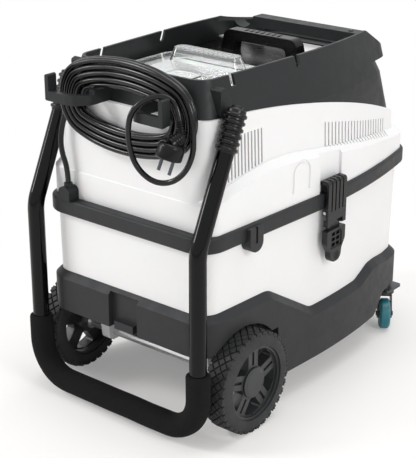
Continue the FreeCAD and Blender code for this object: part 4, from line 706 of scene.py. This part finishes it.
turns = add_node(ring_tree, "ShaderNodeMath", {1: 0.5}, {0: stagger.outputs[0], 2: share.outputs[0]},
                 operation="MULTIPLY_ADD")
angle = add_node(ring_tree, "ShaderNodeMath", {1: 2 * math.pi}, {0: turns.outputs[0]}, operation="MULTIPLY")
cosine = add_node(ring_tree, "ShaderNodeMath", operation="COSINE", links={0: angle.outputs[0]})
sine = add_node(ring_tree, "ShaderNodeMath", operation="SINE", links={0: angle.outputs[0]})
y_place = add_node(ring_tree, "ShaderNodeMath", operation="MULTIPLY",
                   links={0: cosine.outputs[0], 1: group["Radius"]})
z_place = add_node(ring_tree, "ShaderNodeMath", operation="MULTIPLY",
                   links={0: sine.outputs[0], 1: group["Radius"]})
x_place = add_node(ring_tree, "ShaderNodeMath", operation="MULTIPLY_ADD",
                   links={0: row.outputs[0], 1: group["Row Pitch"], 2: group["Row Start"]})
spot = add_node(ring_tree, "ShaderNodeCombineXYZ", links={"X": x_place.outputs[0], "Y": y_place.outputs[0],
                                                          "Z": z_place.outputs[0]})
upright = add_node(ring_tree, "ShaderNodeMath", {1: math.pi / 2}, {0: angle.outputs[0]}, operation="SUBTRACT")
euler = add_node(ring_tree, "ShaderNodeCombineXYZ", links={"X": upright.outputs[0]})
facing = add_node(ring_tree, "FunctionNodeEulerToRotation", links={"Euler": euler.outputs[0]})
spread = add_node(ring_tree, "GeometryNodeSetPosition", links={"Geometry": points.outputs[0],
                                                               "Position": spot.outputs[0]})
shape_in = add_node(ring_tree, "GeometryNodeObjectInfo", links={"Object": group["Shape"]})
copies = add_node(ring_tree, "GeometryNodeInstanceOnPoints", links={"Points": spread.outputs[0],
                                                                    "Instance": shape_in.outputs["Geometry"],
                                                                    "Rotation": facing.outputs[0]})
finish_tree(ring_tree, copies.outputs[0], group)


# %% Tread blocks and tyres
def block_mesh(name, outline, low, high, draft):
    # A block with a flat top: the outline at the bottom, drawn in by the draft at the top
    shape = bmesh.new()
    foot = [shape.verts.new((x, y, low)) for x, y in outline]
    top = [shape.verts.new((x * (1 - draft), y * (1 - draft), high)) for x, y in outline]
    count = len(outline)
    for i in range(count):
        j = (i + 1) % count
        shape.faces.new((foot[i], foot[j], top[j], top[i]))
    shape.faces.new(top)
    shape.faces.new(foot[::-1])
    bmesh.ops.recalc_face_normals(shape, faces=shape.faces)
    mesh = bpy.data.meshes.new(name)
    shape.to_mesh(mesh)
    shape.free()
    return mesh


WHEEL_R, WHEEL_X, TYRE_W, RIM_R, TREAD = 0.078, 0.168, 0.040, 0.057, 0.0028
ROWS, BLOCKS = 5, 34
row_pitch = 0.0068
step = 2 * math.pi * WHEEL_R / BLOCKS
GROOVE, LUG_GAP = 0.0009, 0.0011
diamond_wide = row_pitch - GROOVE
diamond_long = step / 2 - GROOVE
diamond_outline = [(diamond_wide, 0), (0, diamond_long), (-diamond_wide, 0), (0, -diamond_long)]
diamond_mesh = block_mesh("diamond", diamond_outline, low=-0.002, high=TREAD, draft=0.14)
diamond = hidden_pattern("diamond", diamond_mesh)
LUG_WIDE, LUG_INSET, LUG_SINK = 0.0032, 0.0052, 0.0004
lug_long = step / 2 - LUG_GAP
lug_outline = [(LUG_WIDE, lug_long), (-LUG_WIDE, lug_long), (-LUG_WIDE, -lug_long), (LUG_WIDE, -lug_long)]
lug = hidden_pattern("lug", block_mesh("lug", lug_outline, low=-0.006, high=TREAD, draft=0.16))
half = TYRE_W / 2
floor_r = WHEEL_R - TREAD
left_half = [(-half, RIM_R), (-half, 0.0655), (-half + 0.0006, 0.0700), (-half + 0.0024, 0.0728),
             (-half + 0.0050, floor_r)]
carcass = left_half + [(-along, radius) for along, radius in reversed(left_half)]
for side, name in ((1, "right"), (-1, "left")):
    body = turned_mesh("carcass", carcass, (0, 0, 0), X, 96, closed=True)
    tread = grown_mesh("tread", ring_tree, Shape=diamond, Count=BLOCKS, Rows=ROWS, Row_Pitch=row_pitch,
                       Row_Start=-row_pitch * (ROWS - 1) / 2, Radius=floor_r, Material=tyre_rubber)
    lugs = [grown_mesh("lugs", ring_tree, Shape=lug, Count=BLOCKS, Rows=1, Row_Pitch=0.0, Row_Start=place,
                       Radius=floor_r - LUG_SINK, Material=tyre_rubber)
            for place in (-half + LUG_INSET, half - LUG_INSET)]
    whole = joined("tyre", [body, tread] + lugs)
    whole.transform(Matrix.Translation((side * WHEEL_X, AXLE_Y, WHEEL_R)))
    tyre = add_object(name + "_tread_tyre", whole, tyre_rubber)
    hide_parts(name + "_tyre")
    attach(tyre, name + "_wheel")
print("tread blocks per tyre", ROWS * BLOCKS, "and lugs", 2 * BLOCKS)

# %% [markdown]
# The setting is a white studio: a pale floor, a white world that only the camera and reflections see at full
# strength, and four soft lights. Near the machine the floor is mostly paper, which keeps the soft shadow.
# With distance from the footprint it glows more, until half a metre out it is as white as the backdrop.


# %% Floor, world and lights
MIDDLE = Vector((0, 0, 0.28))


def area_light(name, place, size, power):
    # A square lamp that faces the middle of the machine; its size is in metres and its power in watts
    data = bpy.data.lights.new(name, "AREA")
    data.size = size
    data.energy = power
    light = bpy.data.objects.new(name, data)
    light.location = place
    light.rotation_mode = "QUATERNION"
    light.rotation_quaternion = (MIDDLE - Vector(place)).to_track_quat("-Z", "Y")
    scene.collection.objects.link(light)


floor_mesh = bpy.data.meshes.new("studio_floor")
reach = 8
corners = [(-reach, -reach, 0), (reach, -reach, 0), (reach, reach, 0), (-reach, reach, 0)]
floor_mesh.from_pydata(corners, [], [(0, 1, 2, 3)])
floor_paint = bpy.data.materials.new("studio_floor")
floor_paint.use_nodes = True
tree = floor_paint.node_tree
tree.nodes.clear()
paper = add_node(tree, "ShaderNodeBsdfDiffuse", {"Color": linear("#FAF7F4")})
glow = add_node(tree, "ShaderNodeEmission", {"Color": linear("#FFFFFF"), "Strength": 1.0})
seen = add_node(tree, "ShaderNodeLightPath")
place = add_node(tree, "ShaderNodeTexCoord").outputs["Object"]
mirrored = add_node(tree, "ShaderNodeVectorMath", links={0: place}, operation="ABSOLUTE")
footprint = (0.14, 0.23, 0)
FADE_REACH, LEAST_GLOW = 0.5, 0.22
beyond = add_node(tree, "ShaderNodeVectorMath", {1: footprint}, {0: mirrored.outputs[0]},
                  operation="SUBTRACT")
outside = add_node(tree, "ShaderNodeVectorMath", {1: (0, 0, 0)}, {0: beyond.outputs[0]}, operation="MAXIMUM")
distance = add_node(tree, "ShaderNodeVectorMath", links={0: outside.outputs[0]}, operation="LENGTH")
fade = add_node(tree, "ShaderNodeMapRange",
                {"From Min": 0.0, "From Max": FADE_REACH, "To Min": LEAST_GLOW, "To Max": 1.0},
                {"Value": distance.outputs["Value"]})
lift = add_node(tree, "ShaderNodeMath", links={0: seen.outputs["Is Camera Ray"], 1: fade.outputs["Result"]},
                operation="MULTIPLY")
mix = add_node(tree, "ShaderNodeMixShader",
               links={0: lift.outputs[0], 1: paper.outputs[0], 2: glow.outputs[0]})
add_node(tree, "ShaderNodeOutputMaterial", links={"Surface": mix.outputs[0]})
floor = add_object("studio_floor", floor_mesh, floor_paint)

world = bpy.data.worlds.new("studio")
scene.world = world
world.use_nodes = True
tree = world.node_tree
tree.nodes.clear()
soft = add_node(tree, "ShaderNodeBackground", {"Color": linear("#FFFFFF"), "Strength": 0.55})
bright = add_node(tree, "ShaderNodeBackground", {"Color": linear("#FFFFFF"), "Strength": 1.0})
ray = add_node(tree, "ShaderNodeLightPath")
direct = add_node(tree, "ShaderNodeMath", operation="MAXIMUM",
                  links={0: ray.outputs["Is Camera Ray"], 1: ray.outputs["Is Glossy Ray"]})
clear = add_node(tree, "ShaderNodeMath", links={0: direct.outputs[0], 1: ray.outputs["Is Transmission Ray"]},
                 operation="MAXIMUM")
mix = add_node(tree, "ShaderNodeMixShader",
               links={0: clear.outputs[0], 1: soft.outputs[0], 2: bright.outputs[0]})
add_node(tree, "ShaderNodeOutputWorld", links={"Surface": mix.outputs[0]})

area_light("key_softbox", (-1.75, -1.95, 2.2), size=0.7, power=36)
area_light("left_softbox", (-2.1, -1.7, 0.97), size=0.45, power=9)
area_light("side_softbox", (2.6, -0.6, 1.6), size=0.9, power=26)
area_light("top_softbox", (0.2, 0.6, 2.8), size=2.0, power=31)
scene.view_settings.view_transform = "Standard"
